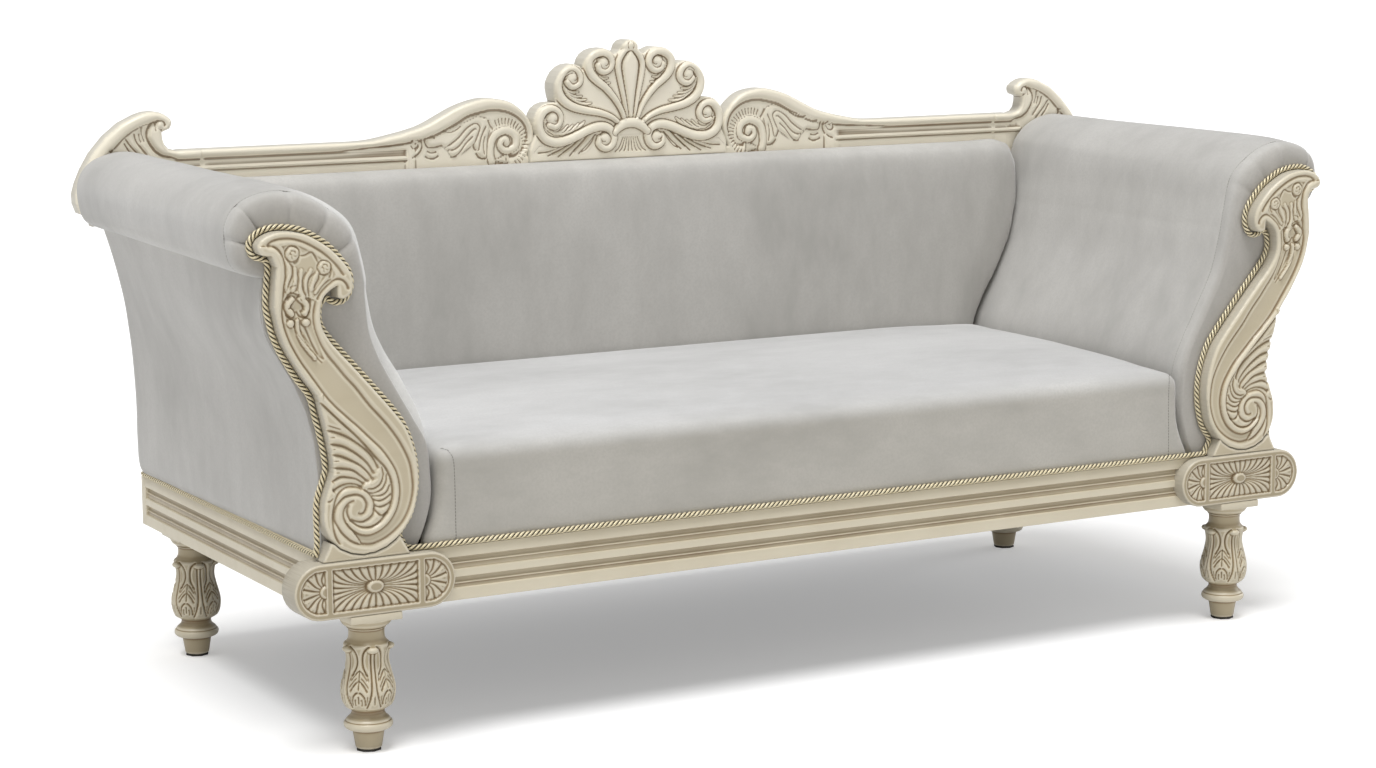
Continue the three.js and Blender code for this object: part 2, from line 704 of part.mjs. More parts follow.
function outerPanel() {
  const outer = [];
  const inner = [];
  const out_normals = [[1, 0], [1, 0], [1, 0], [0.8, 0.6], [0.6, 0.8], [0, 1]];
  arm_outer_line.forEach((front_point, row) => {
    const [across, depth] = arm_rear_shares[row];
    const rear_x = armPoint([across, 0]).x;
    const z = front_point.y;
    const back_y = outerBackY(z);
    const rear_y = Math.min(back_plane - outer_back_bottom_step - depth * corner_wrap_depth
      + cord_radius * 2, back_y - outer_panel_thickness);
    const edge_x = back_panel_half_width + fit_gap;
    const stations = [
      [front_point.x, arm_front],
      [(front_point.x + rear_x) / 2, (arm_front + rear_y) / 2],
      [rear_x, rear_y - outer_panel_thickness],
      [rear_x, rear_y],
      [(rear_x + edge_x * 2) / 3, (rear_y + back_y * 2) / 3],
      [edge_x, back_y],
    ];
    outer.push(stations.map(([x, y]) => new THREE.Vector3(x, y, z)));
    inner.push(stations.map(([x, y], i) => {
      const [nx, ny] = out_normals[i];
      return new THREE.Vector3(x - nx * outer_panel_thickness, y - ny * outer_panel_thickness, z);
    }));
  });
  return sheet(outer, inner);
}

function facingPegs(radius, front, back) {
  return armLine(facing_peg_shares).map((point) => barY(radius, point.x, [front, back], point.y));
}

function addArms() {
  const facing_outline = facingOutline();
  const facing_body = frontPrism(facing_outline, facing_front, facing_back);
  const hole_radius = facing_peg_radius + fit_gap;
  const peg_back = arm_front + facing_peg_in_post;
  const facing = join([facing_body, ...facingPegs(facing_peg_radius, facing_back - cut_overrun, peg_back)]);
  const plinth_x = [arm_inner + plinth_inner_place, arm_inner + plinth_inner_place + plinth_width];
  const plinth_z = [rail_top + fit_gap, rail_top + plinth_height];
  const plinth_line = facing_outline.filter((point) => point.y < plinth_z[1] + plinth_height);
  const plinth_cut = frontPrism(lineBeside(plinth_line, fit_gap * 2),
    facing_front - cut_overrun, facing_back + cut_overrun);
  const plinth_body = frontPrism([
    new THREE.Vector2(plinth_x[0], plinth_z[0]),
    new THREE.Vector2(plinth_x[1], plinth_z[0]),
    new THREE.Vector2(plinth_x[1] - plinth_slope, plinth_z[1]),
    new THREE.Vector2(plinth_x[0] + plinth_slope, plinth_z[1]),
  ], facing_front, facing_back);
  const plinth = cut(plinth_body, [plinth_cut]);
  const pad_outline = [...arm_cover_line, ...arm_outer_line];
  const pad = cut(frontPrism(pad_outline, pad_front, pad_back),
    facingPegs(hole_radius, pad_front - cut_overrun, pad_back + cut_overrun));
  const cover = frontPrism(strip(arm_cover_line, 0, cover_thickness), arm_front, arm_back);
  const foam_from = cover_thickness + fit_gap;
  const arm_foam = frontPrism(
    strip(arm_padding_line, foam_from, foam_from + arm_foam_thickness), arm_front, arm_back);
  const front_post_back = arm_front + arm_post_thickness;
  const front_post = cut(frontPrism(postOutline(), arm_front, front_post_back),
    facingPegs(hole_radius, arm_front - cut_overrun, peg_back + fit_gap));
  const rear_post = frontPrism(postOutline(), arm_back - arm_post_thickness, arm_back);
  const beam = frontPrism(beamOutline(), front_post_back + fit_gap,
    arm_back - arm_post_thickness - fit_gap);
  for (const { name, sign } of sofa_sides) {
    const arm = new THREE.Group();
    part.add(arm);
    addPiece(`arm_facing_${name}`, onSide(facing, sign), painted_wood, arm);
    addPiece(`facing_plinth_${name}`, onSide(plinth, sign), painted_wood, arm);
    addPiece(`arm_front_pad_${name}`, onSide(pad, sign), velvet, arm);
    addPiece(`arm_cover_${name}`, onSide(cover, sign), velvet, arm);
    addPiece(`arm_foam_${name}`, onSide(arm_foam, sign), foam, arm);
    addPiece(`arm_post_front_${name}`, onSide(front_post, sign), bare_wood, arm);
    addPiece(`arm_post_rear_${name}`, onSide(rear_post, sign), bare_wood, arm);
    addPiece(`arm_beam_${name}`, onSide(beam, sign), bare_wood, arm);
    addPiece(`arm_outer_panel_${name}`, onSide(outerPanel(), sign), velvet, arm);
  }
}

// Back: posts on the base, a padded front, a sloping outer panel behind
const outer_back_foot = back_plane - outer_back_bottom_step;
const outer_back_head = crest_back + fit_gap + outer_back_thickness;

function outerBackY(z) {
  const up = (z - rail_top) / (outer_back_top - rail_top);
  return outer_back_foot + up * (outer_back_head - outer_back_foot);
}

// Right half of the back pad's outline. Below the roll it follows the arm's inner side; above,
// it rounds over to the flat top. Shares are of the arm's width and height.
const back_corner_shares = [[0.32, 0.8], [0.325, 0.86], [0.28, 0.925], [0.18, 0.947]];

function backOutline(inset) {
  const follow = armLine(arm_cover_shares.slice(0, 9));
  const corner = armLine(back_corner_shares);
  const clear = back_side_clearance + inset;
  const side = [...follow, ...corner].map((point) => new THREE.Vector2(
    point.x - clear, Math.min(Math.max(point.y, foam_bottom + inset), back_pad_height - inset)));
  const half = [];
  const bottom_facets = cushion_side_facets / 2;
  for (let step = 0; step < bottom_facets; step += 1) {
    half.push(new THREE.Vector2(side[0].x * step / bottom_facets, side[0].y));
  }
  half.push(...side);
  for (let step = 1; step <= bottom_facets; step += 1) {
    const x = side.at(-1).x * (1 - step / bottom_facets);
    half.push(new THREE.Vector2(x, back_pad_height - inset));
  }
  return mirroredOutline(half);
}

// Each point is a share of the edge softness inwards and of the pad's thickness
const back_ring_shares = [[0.1, 0], [0, 0.35], [0.15, 0.6], [0.5, 0.85], [1, 1]];
const back_crown_shares = [[0.2, 0.45], [0.5, 0.85], [0.85, 1]];

function backForm(inset, overrun) {
  const back = crest_front - fit_gap;
  const front = back_pad_front + inset;
  const outline = backOutline(inset);
  const middle_z = (rail_top + back_pad_height) / 2;
  const reach = (back_pad_height - rail_top) / 2 - back_edge_softness;
  const ring_at = (shrink, y) => outline.map((point) => {
    const half_z = (back_pad_height - rail_top) / 2;
    const x = point.x * (1 - shrink / arm_inner);
    return new THREE.Vector3(x, y, middle_z + (point.y - middle_z) * (1 - shrink / half_z));
  });
  const walls = back_ring_shares.map(([inward, forward]) => ring_at(
    inward * back_edge_softness, back + forward * (front - back)));
  const crown = back_crown_shares.map(([inward, forward]) => ring_at(
    back_edge_softness + inward * reach, front - forward * back_crown));
  const behind = walls[0].map((point) => point.clone().setY(back + overrun));
  return stackRings([...(overrun > 0 ? [behind] : []), ...walls, ...crown]);
}

// Round tenons on top of the posts, and the one on each horn's inner end
const board_middle = crest_front + back_board_thickness / 2;
const corner_tenon_x = post_outer_face - post_width / 4;
const horn_tenon_z = (post_top + crest_rail_height) / 2;

function postTenon(x, extra) {
  const z = [post_top - cut_overrun, post_top + tenon_length + extra];
  return barZ(tenon_radius + extra, x, board_middle, z);
}

function hornTenon(extra) {
  const x = [crest_half_width - tenon_length - extra, crest_half_width + cut_overrun];
  return barX(tenon_radius + extra, x, board_middle, horn_tenon_z);
}

function addBack() {
  const post_y = [crest_front, crest_back];
  for (const { name, sign } of sofa_sides) {
    const corner_x = [post_outer_face - post_width, post_outer_face];
    const corner_post = join([box(corner_x, post_y, [rail_top + fit_gap, post_top]),
      postTenon(corner_tenon_x, 0)]);
    addPiece(`back_post_${name}`, onSide(corner_post, sign), bare_wood);
    const middle_x = [middle_post_place - post_width / 2, middle_post_place + post_width / 2];
    const middle_post = join([box(middle_x, post_y, [rail_bottom, post_top]),
      postTenon(middle_post_place, 0)]);
    addPiece(`back_middle_post_${name}`, onSide(middle_post, sign), bare_wood);
  }
  const hollow = backForm(back_foam_inset - fit_gap, cut_overrun);
  addPiece('back_cover', cut(backForm(0, 0), [hollow]), velvet);
  addPiece('back_foam', backForm(back_foam_inset, 0), foam);
  const z = [rail_top + fit_gap, outer_back_top];
  const panel_outline = [
    new THREE.Vector2(outerBackY(z[0]) - outer_back_thickness, z[0]),
    new THREE.Vector2(outerBackY(z[0]), z[0]),
    new THREE.Vector2(outerBackY(z[1]), z[1]),
    new THREE.Vector2(outerBackY(z[1]) - outer_back_thickness, z[1]),
  ];
  const outer_back = sidePrism(panel_outline, -back_panel_half_width, back_panel_half_width);
  addPiece('outer_back_panel', outer_back, velvet);
}

// Crest rail: a straight moulded rail with a swell on both sides of the shell. Shares are of the
// swell's half width, from the middle outwards, and of its rise above the rail.
const swell_shares = [
  [0.385, -0.55], [0.364, -0.18], [0.364, 0.194], [0.39, 0.55], [0.415, 0.73], [0.442, 0.866],
  [0.479, 0.955], [0.536, 1], [0.592, 0.955], [0.649, 0.836], [0.706, 0.642], [0.76, 0.448],
  [0.815, 0.313], [0.872, 0.2], [0.94, 0.06], [1, 0],
];
// Right half of the shell, as shares of its half width and of its height above its base
const shell_shares = [
  [0, 1], [0.08, 0.965], [0.1, 0.91], [0.16, 0.891], [0.185, 0.913], [0.267, 0.939], [0.39, 0.922],
  [0.472, 0.857], [0.487, 0.774], [0.513, 0.804], [0.58, 0.822], [0.687, 0.8], [0.769, 0.726],
  [0.795, 0.635], [0.764, 0.526], [0.81, 0.53], [0.908, 0.513], [0.979, 0.448], [1, 0.365],
  [0.98, 0.287],
];

function shellOutline(extra) {
  const height = overall_height - shell_base;
  const right = shell_shares.map(([across, up]) => new THREE.Vector2(
    across * shell_half_width + (across > 0 ? extra : 0), shell_base + up * height));
  const notch = shell_notch_half_width + extra;
  const shoulder = outer_back_top + fit_gap;
  right.push(new THREE.Vector2(notch, shoulder), new THREE.Vector2(notch, shell_base - extra));
  right.push(new THREE.Vector2(0, shell_base - extra));
  const left = right.slice(1, -1).reverse();
  return [...right, ...left.map((point) => new THREE.Vector2(-point.x, point.y))];
}

function crestOutline() {
  const rise = swell_height - crest_rail_height;
  const swell = swell_shares.map(([across, up]) => new THREE.Vector2(
    across * swell_half_width, crest_rail_height + up * rise));
  const bottom = post_top + fit_gap;
  const right = [
    new THREE.Vector2(0, swell[0].y),
    ...swell,
    new THREE.Vector2(crest_half_width - fit_gap, crest_rail_height),
    new THREE.Vector2(crest_half_width - fit_gap, bottom),
    new THREE.Vector2(0, bottom),
  ];
  const left = right.slice(1, -1).reverse();
  return [...right, ...left.map((point) => new THREE.Vector2(-point.x, point.y))];
}

// A horn's outline, as shares of its width from the crest outwards and of its height
const horn_shares = [
  [0, 0.641], [0.186, 0.641], [0.255, 0.672], [0.295, 0.75], [0.3, 0.813], [0.273, 0.83],
  [0.236, 0.844], [0.218, 0.901], [0.268, 0.964], [0.368, 1], [0.495, 0.974], [0.623, 0.906],
  [0.745, 0.797], [0.855, 0.656], [0.927, 0.521], [0.982, 0.391], [1, 0.276], [0.968, 0.13],
  [0.914, 0.12],
];

function hornOutline() {
  const bottom = post_top + fit_gap;
  const points = horn_shares.map(([across, up]) => new THREE.Vector2(
    crest_half_width + across * horn_width,
    bottom + up * (horn_height - bottom)));
  return [...points, new THREE.Vector2(points.at(-1).x, bottom), new THREE.Vector2(points[0].x, bottom)];
}

function addCrest() {
  const board = frontPrism(crestOutline(), crest_front, crest_back);
  const shell_front = crest_front - shell_proud;
  const notch = frontPrism(shellOutline(fit_gap * 2), crest_front - cut_overrun, crest_back + cut_overrun);
  const mortises = sofa_sides.flatMap(({ sign }) => [
    onSide(postTenon(middle_post_place, fit_gap), sign), onSide(hornTenon(fit_gap), sign)]);
  addPiece('crest_rail', cut(board, [notch, ...mortises]), painted_wood);
  const full_shell = frontPrism(shellOutline(0), shell_front, crest_back);
  const reach = shell_notch_half_width + cut_overrun;
  const behind_pad = box([-reach, reach], [shell_front - cut_overrun, crest_front],
    [shell_base - cut_overrun, back_pad_height + fit_gap]);
  addPiece('crest_shell', cut(full_shell, [behind_pad]), painted_wood);
  const horn_board = join([frontPrism(hornOutline(), crest_front, crest_back), hornTenon(0)]);
  const horn = cut(horn_board, [postTenon(corner_tenon_x, fit_gap)]);
  for (const { name, sign } of sofa_sides) {
    addPiece(`horn_${name}`, onSide(horn, sign), painted_wood);
  }
}

// Rope cord: laid along the joints between the wood and the upholstery
function cordAlong(points, steps) {
  const section = [];
  for (let i = 0; i < cord_sides; i += 1) {
    const turn = 2 * Math.PI * i / cord_sides;
    section.push(new THREE.Vector2(cord_radius * Math.cos(turn), cord_radius * Math.sin(turn)));
  }
  const route = new THREE.CatmullRomCurve3(points);
  const options = { steps, extrudePath: route, bevelEnabled: false };
  return new THREE.ExtrudeGeometry(new THREE.Shape(section), options);
}

function addCords() {
  const rail_z = rail_top + fit_gap + cord_radius;
  const front_y = rail_front - cord_rail_overhang;
  const half_width = arm_inner + plinth_inner_place - fit_gap - 4 * cord_radius;
  const front_ends = [-half_width, half_width].map((x) => new THREE.Vector3(x, front_y, rail_z));
  addPiece('cord_front', cordAlong(front_ends, 1), gold_cord);
  const side_x = rail_outer + cord_rail_overhang;
  const back_y = back_plane - cord_radius;
  const bend_x = side_x - cord_corner_radius;
  const bend_y = back_y - cord_corner_radius;
  const side = [pad_back + fit_gap, bend_y].map((y) => new THREE.Vector3(side_x, y, rail_z));
  const bend = [];
  for (let step = -1; step <= cord_bend_facets; step += 1) {
    const turn = step / cord_bend_facets * Math.PI / 2;
    const x = bend_x + cord_corner_radius * Math.cos(turn);
    bend.push(new THREE.Vector3(x, bend_y + cord_corner_radius * Math.sin(turn), rail_z));
  }
  const side_cord = join([cordAlong(side, 1), cordAlong(bend, bend.length - 1)]);
  const back_reach = bend_x - cord_radius / 2;
  const back = [-back_reach, back_reach].map((x) => new THREE.Vector3(x, back_y, rail_z));
  addPiece('cord_back', cordAlong(back, 1), gold_cord);
  const arm_route = arm_cord_shares.map((share) => {
    const point = armPoint(share);
    return new THREE.Vector3(point.x, pad_front - fit_gap - cord_radius, point.y);
  });
  for (const { name, sign } of sofa_sides) {
    addPiece(`cord_side_${name}`, onSide(side_cord, sign), gold_cord);
    addPiece(`cord_arm_${name}`, onSide(cordAlong(arm_route, cord_steps), sign), gold_cord);
  }
}

addLegs();
addBaseFrame();
addSeat();
addArms();
addBack();
addCrest();
addCords();

export default part;
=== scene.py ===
import math

import bmesh
import bpy
import numpy as np
from mathutils import Matrix, Vector, kdtree, noise


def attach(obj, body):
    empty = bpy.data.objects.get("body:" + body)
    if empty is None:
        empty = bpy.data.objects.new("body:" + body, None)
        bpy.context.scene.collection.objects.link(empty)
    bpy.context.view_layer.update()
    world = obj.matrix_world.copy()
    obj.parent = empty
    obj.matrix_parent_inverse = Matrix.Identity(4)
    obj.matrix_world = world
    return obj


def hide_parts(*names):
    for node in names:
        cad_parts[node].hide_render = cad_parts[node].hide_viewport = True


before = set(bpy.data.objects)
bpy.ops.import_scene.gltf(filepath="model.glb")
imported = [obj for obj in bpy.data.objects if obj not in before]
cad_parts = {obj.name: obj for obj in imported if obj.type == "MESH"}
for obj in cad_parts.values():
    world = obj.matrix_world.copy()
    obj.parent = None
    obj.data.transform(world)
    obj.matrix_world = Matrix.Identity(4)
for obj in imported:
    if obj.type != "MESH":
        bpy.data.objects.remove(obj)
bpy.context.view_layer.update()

# The camera stands in front of the left arm, a little above the backrest, and looks slightly
# down. Its lens is long, so the settee shows little perspective.
CAMERA_PLACE = Vector((-2.55235, -4.37482, 1.24458))
CAMERA_YAW, CAMERA_PITCH, CAMERA_ROLL = 0.518, 0.157, -0.005
CAMERA_LENS = 76.92

scene = bpy.context.scene
camera_data = bpy.data.cameras.new("camera")
camera_data.sensor_width = 36
camera_data.lens = CAMERA_LENS
camera_data.clip_end = 200
camera = bpy.data.objects.new("camera", camera_data)
scene.collection.objects.link(camera)
forward = Vector((math.sin(CAMERA_YAW) * math.cos(CAMERA_PITCH),
                  math.cos(CAMERA_YAW) * math.cos(CAMERA_PITCH), -math.sin(CAMERA_PITCH)))
level = Vector((math.cos(CAMERA_YAW), -math.sin(CAMERA_YAW), 0))
upright = level.cross(forward)
across = math.cos(CAMERA_ROLL) * level + math.sin(CAMERA_ROLL) * upright
upwards = math.cos(CAMERA_ROLL) * upright - math.sin(CAMERA_ROLL) * level
turn = Matrix((across, upwards, -forward)).transposed().to_4x4()
camera.matrix_world = Matrix.Translation(CAMERA_PLACE) @ turn
scene.camera = camera

# Legs: four turned legs of painted wood with acanthus leaves carved round the bulb, each on a
# dark glide and under a square block. The paint is ivory with a brown glaze left in the hollows.
MM = 0.001
LEG_PROFILE = [
    (17.5, 3.3), (19.8, 4.6), (20.6, 8), (23.6, 26), (24.6, 30.6), (26.5, 32.6), (33, 34.4), (36.6, 37.4),
    (37.6, 41), (36.9, 44.6), (35.2, 46.2), (34.3, 46.8), (34.4, 47.6), (32.6, 50), (28, 54), (25.4, 58.2),
    (25, 61), (26, 64), (31, 67), (36, 71.5), (39.5, 79), (41.2, 88), (41.5, 93), (40.7, 103), (37.8, 115),
    (34.6, 127), (32.4, 137), (31.9, 145), (32.8, 152), (34.2, 158), (35.2, 163), (35.4, 165.6), (34.2, 167.2),
    (31.4, 169.6), (28.6, 173.8), (27.4, 179), (27.3, 185), (27.8, 189.6), (29.6, 190.4), (29.8, 192),
    (29, 192.8), (32, 194), (36.2, 197.2), (38.6, 201), (41, 205.7)]
LEG_TURN_STEPS, LEG_RING_GAP = 180, 1.6
LEG_PLACES = {"front_left": (-832, -370.5), "front_right": (832, -370.5),
              "back_left": (-850, 321), "back_right": (850, 321)}
LEG_BLOCK = ((-42, -42, 205.7), (42, 42, 217.7))
LEAF_COUNT, LEAF_HALF, LEAF_PHASE = 5, 25.1, math.radians(-62)
ACANTHUS_CUTS = [
    ([(21.6, 157), (21.6, 130), (21.4, 104), (19.6, 92), (16, 80), (12.5, 72)], 3.7, 3.5, 0.03),
    ([(25.1, 92), (25.1, 78)], 2.5, 2.4, 0.3),
    ([(20, 166), (14.5, 163.5), (9.5, 159), (6.4, 152), (5.4, 144), (6.4, 136), (9.6, 129),
      (15.5, 120.5)], 4.8, 4.6, 0.05),
    ([(0, 131), (0, 100)], 3, 3.5, 0.08),
    ([(0.6, 129), (4.6, 126.5), (9.5, 121.5), (14.5, 114)], 3.7, 3.3, 0.15),
    ([(10.5, 125), (14, 121), (17.8, 113)], 3, 2.4, 0.2),
    ([(0, 114.5), (5, 110.8), (10, 105), (14, 97.5)], 3.7, 3.3, 0.12),
    ([(3, 119.5), (9, 114), (16, 103.5)], 2.8, 2.2, 0.2),
    ([(0, 97.5), (4.6, 95.6), (8.4, 91), (10.6, 84), (10.8, 76)], 3.5, 3.3, 0.1),
    ([(14.6, 92), (14, 84), (12.5, 77)], 2.8, 2.2, 0.2),
    ([(0, 92.5), (0, 79)], 3, 2.9, 0.2),
    ([(4.4, 88), (5.6, 82), (5, 76)], 2.5, 2.2, 0.2)]
IVORY, GLAZE = (0.75, 0.69, 0.54, 1), (0.225, 0.15, 0.075, 1)
GLAZE_REACH, GLAZE_STRENGTH = 0.004, 5


def unit(value):
    """A number held between 0 and 1."""
    return np.clip(value, 0, 1)


def arched(share):
    """The height of a quarter circle: 1 at a share of 0, down to 0 at a share of 1."""
    return np.sqrt(unit(1 - share ** 2))


def flowing(points, steps=5):
    """A smooth line through a few drawn points; what follows x and z flows with them."""
    p = np.array(points, dtype=float)
    if len(p) < 3:
        return p
    p = np.vstack([2 * p[0] - p[1], p, 2 * p[-1] - p[-2]])
    t = (np.arange(steps) / steps)[:, None]
    rows = []
    for a, b, c, d in zip(p[:-3], p[1:-2], p[2:-1], p[3:]):
        rows.append(0.5 * (2 * b + (c - a) * t + (2 * a - 5 * b + 4 * c - d) * t ** 2
                           + (3 * b - a - 3 * c + d) * t ** 3))
    return np.vstack(rows + [p[-2:-1]])


def distances(line):
    """How far along a line each of its points lies."""
    return np.concatenate([[0], np.cumsum(np.linalg.norm(np.diff(line, axis=0), axis=1))])


def near(board, line, reach):
    """Points of a board within reach of a line: which, how far off, and how far along it."""
    x, z = board["x"], board["z"]
    low, high = line[:, :2].min(0) - reach, line[:, :2].max(0) + reach
    which = np.flatnonzero((x > low[0]) & (x < high[0]) & (z > low[1]) & (z < high[1]))
    x, z = x[which], z[which]
    off, along = np.full(len(which), 1e9), np.zeros(len(which))
    steps = np.hypot(*np.diff(line[:, :2], axis=0).T)
    starts = np.concatenate([[0], np.cumsum(steps)])
    for a, b, step, start in zip(line[:-1], line[1:], steps, starts):
        run = b[:2] - a[:2]
        t = unit(((x - a[0]) * run[0] + (z - a[1]) * run[1]) / max(step ** 2, 1e-9))
        d = np.hypot(x - a[0] - t * run[0], z - a[1] - t * run[1])
        closer = d < off
        off = np.where(closer, d, off)
        along = np.where(closer, (start + t * step) / max(starts[-1], 1e-9), along)
    return which, off, along


def cut_line(board, points, width, depth, fade=0.15):
    """A gouge cut with soft shoulders that thins out towards its ends."""
    line = flowing(points)
    which, off, along = near(board, line, width)
    ends = unit(np.minimum(along, 1 - along) / max(fade, 1e-6)) ** 0.5
    board["h"][which] -= depth * ends * unit(1 - off / width) ** 1.9


def set_level(board, where, level):
    """Gives some points of a board another level."""
    board["h"] = np.where(where, level, board["h"])


def read_points(mesh, what="co"):
    """The places or the normals of a mesh's points, a row each."""
    values = np.empty(len(mesh.vertices) * 3)
    mesh.vertices.foreach_get(what, values)
    return values.reshape(-1, 3)


def settle_glaze(piece, gain, spread):
    """Leaves the glaze where the surface is hollow, and wears it off where it stands proud. Spread
    is how many times each point is evened out with those beside it."""
    mesh = piece.data
    count = len(mesh.vertices)
    place, normal = read_points(mesh), read_points(mesh, "normal")
    ends = np.empty(len(mesh.edges) * 2, dtype=np.int64)
    mesh.edges.foreach_get("vertices", ends)
    a, b = ends[0::2], ends[1::2]
    run = place[b] - place[a]
    length = np.maximum(np.linalg.norm(run, axis=1), 1e-5)
    rise = np.concatenate([(run * normal[a]).sum(1), -(run * normal[b]).sum(1)]) / np.tile(length, 2)
    rise *= np.minimum(GLAZE_REACH / np.tile(length, 2), 1)
    both, other = np.concatenate([a, b]), np.concatenate([b, a])
    share = np.maximum(np.bincount(both, minlength=count), 1)
    hollow = np.bincount(both, rise, count) / share
    for _ in range(spread):
        hollow = 0.5 * hollow + 0.5 * np.bincount(both, hollow[other], count) / share
    glaze = mesh.attributes.new("glaze", "FLOAT", "POINT")
    glaze.data.foreach_set("value", unit(0.5 + hollow * gain * GLAZE_STRENGTH).astype(np.float32))


def node_tree(name):
    """A new material, its nodes and its main shader."""
    material = bpy.data.materials.new(name)
    material.use_nodes = True
    tree = material.node_tree
    return material, tree, tree.nodes["Principled BSDF"]


def plug(tree, node, sockets):
    """Fills a node's sockets, each with a plain value or with another node's output."""
    for name, value in sockets.items():
        if hasattr(value, "is_output"):
            tree.links.new(value, node.inputs[name])
        else:
            node.inputs[name].default_value = value


def new_node(tree, kind, sockets, **settings):
    """A shader node with its settings and sockets filled in."""
    node = tree.nodes.new("ShaderNode" + kind)
    for name, value in settings.items():
        setattr(node, name, value)
    plug(tree, node, sockets)
    return node


def mesh_value(tree, name):
    """A number that the mesh carries at each of its points."""
    return new_node(tree, "Attribute", {}, attribute_name=name).outputs["Fac"]


def ranged(tree, source, low, high, to_low=0.0, to_high=1.0):
    """A number from a node, stretched from low..high to another range."""
    return new_node(tree, "MapRange", {"Value": source, "From Min": low, "From Max": high, "To Min": to_low,
                                       "To Max": to_high}).outputs["Result"]


def blended(tree, share, first, second, blend="MIX"):
    """Two colours mixed by a share. Each may be plain numbers or a node's output."""
    node = new_node(tree, "Mix", {"Factor": share}, data_type="RGBA", blend_type=blend)
    colours = [number for number, socket in enumerate(node.inputs) if socket.type == "RGBA"]
    plug(tree, node, dict(zip(colours, (first, second))))
    return [s for s in node.outputs if s.type == "RGBA"][0]


def layered(tree, base, *layers):
    """Colours laid over a base, each up to a share, where a number from a node goes from low to high."""
    for source, low, high, share, colour in layers:
        base = blended(tree, ranged(tree, source, low, high, 0, share), base, colour)
    return base


def object_noise(tree, scale, detail=3, stretch=(1, 1, 1), roughness=0.5):
    """Noise on the object's own coordinates."""
    place = new_node(tree, "TexCoord", {}).outputs["Object"]
    mapping = new_node(tree, "Mapping", {"Scale": stretch, "Vector": place})
    return new_node(tree, "TexNoise", {"Scale": scale, "Detail": detail, "Roughness": roughness,
                                       "Vector": mapping.outputs["Vector"]}).outputs["Fac"]


def bumped(tree, shader, *layers):
    """Fine relief on a finish, one layer over another: each is a height, a distance and a strength."""
    under = {}
    for height, distance, strength in layers:
        bump = new_node(tree, "Bump", {"Height": height, "Distance": distance, "Strength": strength, **under})
        under = {"Normal": bump.outputs["Normal"]}
    plug(tree, shader, under)


def paint_finish(name, tint, share):
    """Ivory paint, laid on with a brush, with brown glaze in the hollows and a satin varnish. The tint is partly a
    brown wash on the carving and partly painted light and shade: tan darkens the lower pieces, which get less light,
    and a pale tint lightens the crest, which gets more. The sawn sides are made greyer and darker, which is painted
    shade."""
    material, tree, shader = node_tree(name)
    cloud = object_noise(tree, 9, 4)
    streak = object_noise(tree, 60, 3, (0.25, 1, 1))
    speck = object_noise(tree, 420, 2)
    glaze = mesh_value(tree, "glaze")
    base = layered(tree, IVORY, (cloud, 0.35, 0.7, 1, (0.66, 0.595, 0.45, 1)),
                   (streak, 0.5, 0.75, 0.3, (0.6, 0.53, 0.385, 1)))
    base = layered(tree, blended(tree, share, base, tint), (speck, 0.66, 0.8, 0.35, (0.5, 0.42, 0.29, 1)),
                   (glaze, 0.47, 0.22, 0.55, (0.78, 0.73, 0.6, 1)))
    uneven = new_node(tree, "Math", {0: ranged(tree, glaze, 0.54, 0.9), 1: ranged(tree, cloud, 0.3, 0.7, 0.7, 0.95)},
                      operation="MULTIPLY")
    base = blended(tree, uneven.outputs[0], base, GLAZE)
    # Sides marked sawn get a greyer, darker tone: painted shade.
    base = blended(tree, mesh_value(tree, "sawn"), base, SIDE_SHADE_TONE, "MULTIPLY")
    plug(tree, shader, {"Base Color": base, "Roughness": ranged(tree, streak, 0.3, 0.7, 0.28, 0.4)})
    bumped(tree, shader, (speck, 0.0003, 0.25), (streak, 0.0006, 0.3))
    return material


TAN_WASH_AND_SHADE, PALE_PAINTED_LIGHT = (0.42, 0.35, 0.225, 1), (0.92, 0.865, 0.73, 1)
# A greyer, darker tone for the sawn sides: painted shade.
SIDE_SHADE_TONE = (0.74, 0.75, 0.78, 1)
# One paint in lit and shaded copies. More tan darkens the lower pieces: partly a real brown wash, partly painted
# shade. The pale tint on the crest is painted light.
painted_wood = paint_finish("painted_wood", TAN_WASH_AND_SHADE, 0.38)
painted_facing = paint_finish("painted_facing", TAN_WASH_AND_SHADE, 0.58)
painted_low = paint_finish("painted_low", TAN_WASH_AND_SHADE, 0.92)
painted_crest_lit = paint_finish("painted_crest_lit", PALE_PAINTED_LIGHT, 0.9)


def set_down(name, bm, material, nodes=(), crisp=38):
    """A finished piece: its mesh in place, smooth but for its crisp edges, riding on the body."""
    mesh = bpy.data.meshes.new(name)
    bm.to_mesh(mesh)
    bm.free()
    mesh.shade_smooth()
    mesh.set_sharp_from_angle(angle=math.radians(crisp))
    mesh.materials.append(material)
    piece = bpy.data.objects.new(name, mesh)
    scene.collection.objects.link(piece)
    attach(piece, "root")
    if nodes:
        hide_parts(*nodes)
    return piece


def painted_piece(name, bm, material, node, gain=1.0, spread=1, crisp=38):
    """A painted piece of wood with glaze in its hollows."""
    settle_glaze(set_down(name, bm, material, [node], crisp), gain, spread)


def add_block(bm, low, high, radius, segments=2, keep=lambda at: False):
    """A block with rounded edges. Keep tells, from an edge's middle, whether it stays sharp."""
    block = bmesh.ops.create_cube(bm, size=1)["verts"]
    bmesh.ops.scale(bm, vec=(Vector(high) - Vector(low)) * MM, verts=block)
    bmesh.ops.translate(bm, vec=(Vector(high) + Vector(low)) * MM / 2, verts=block)
    corners = set(block)
    soft = [e for e in bm.edges if e.verts[0] in corners and not keep((e.verts[0].co + e.verts[1].co) / 2 / MM)]
    bmesh.ops.bevel(bm, geom=soft, offset=radius * MM, segments=segments, affect="EDGES", profile=0.5,
                    material=-1)


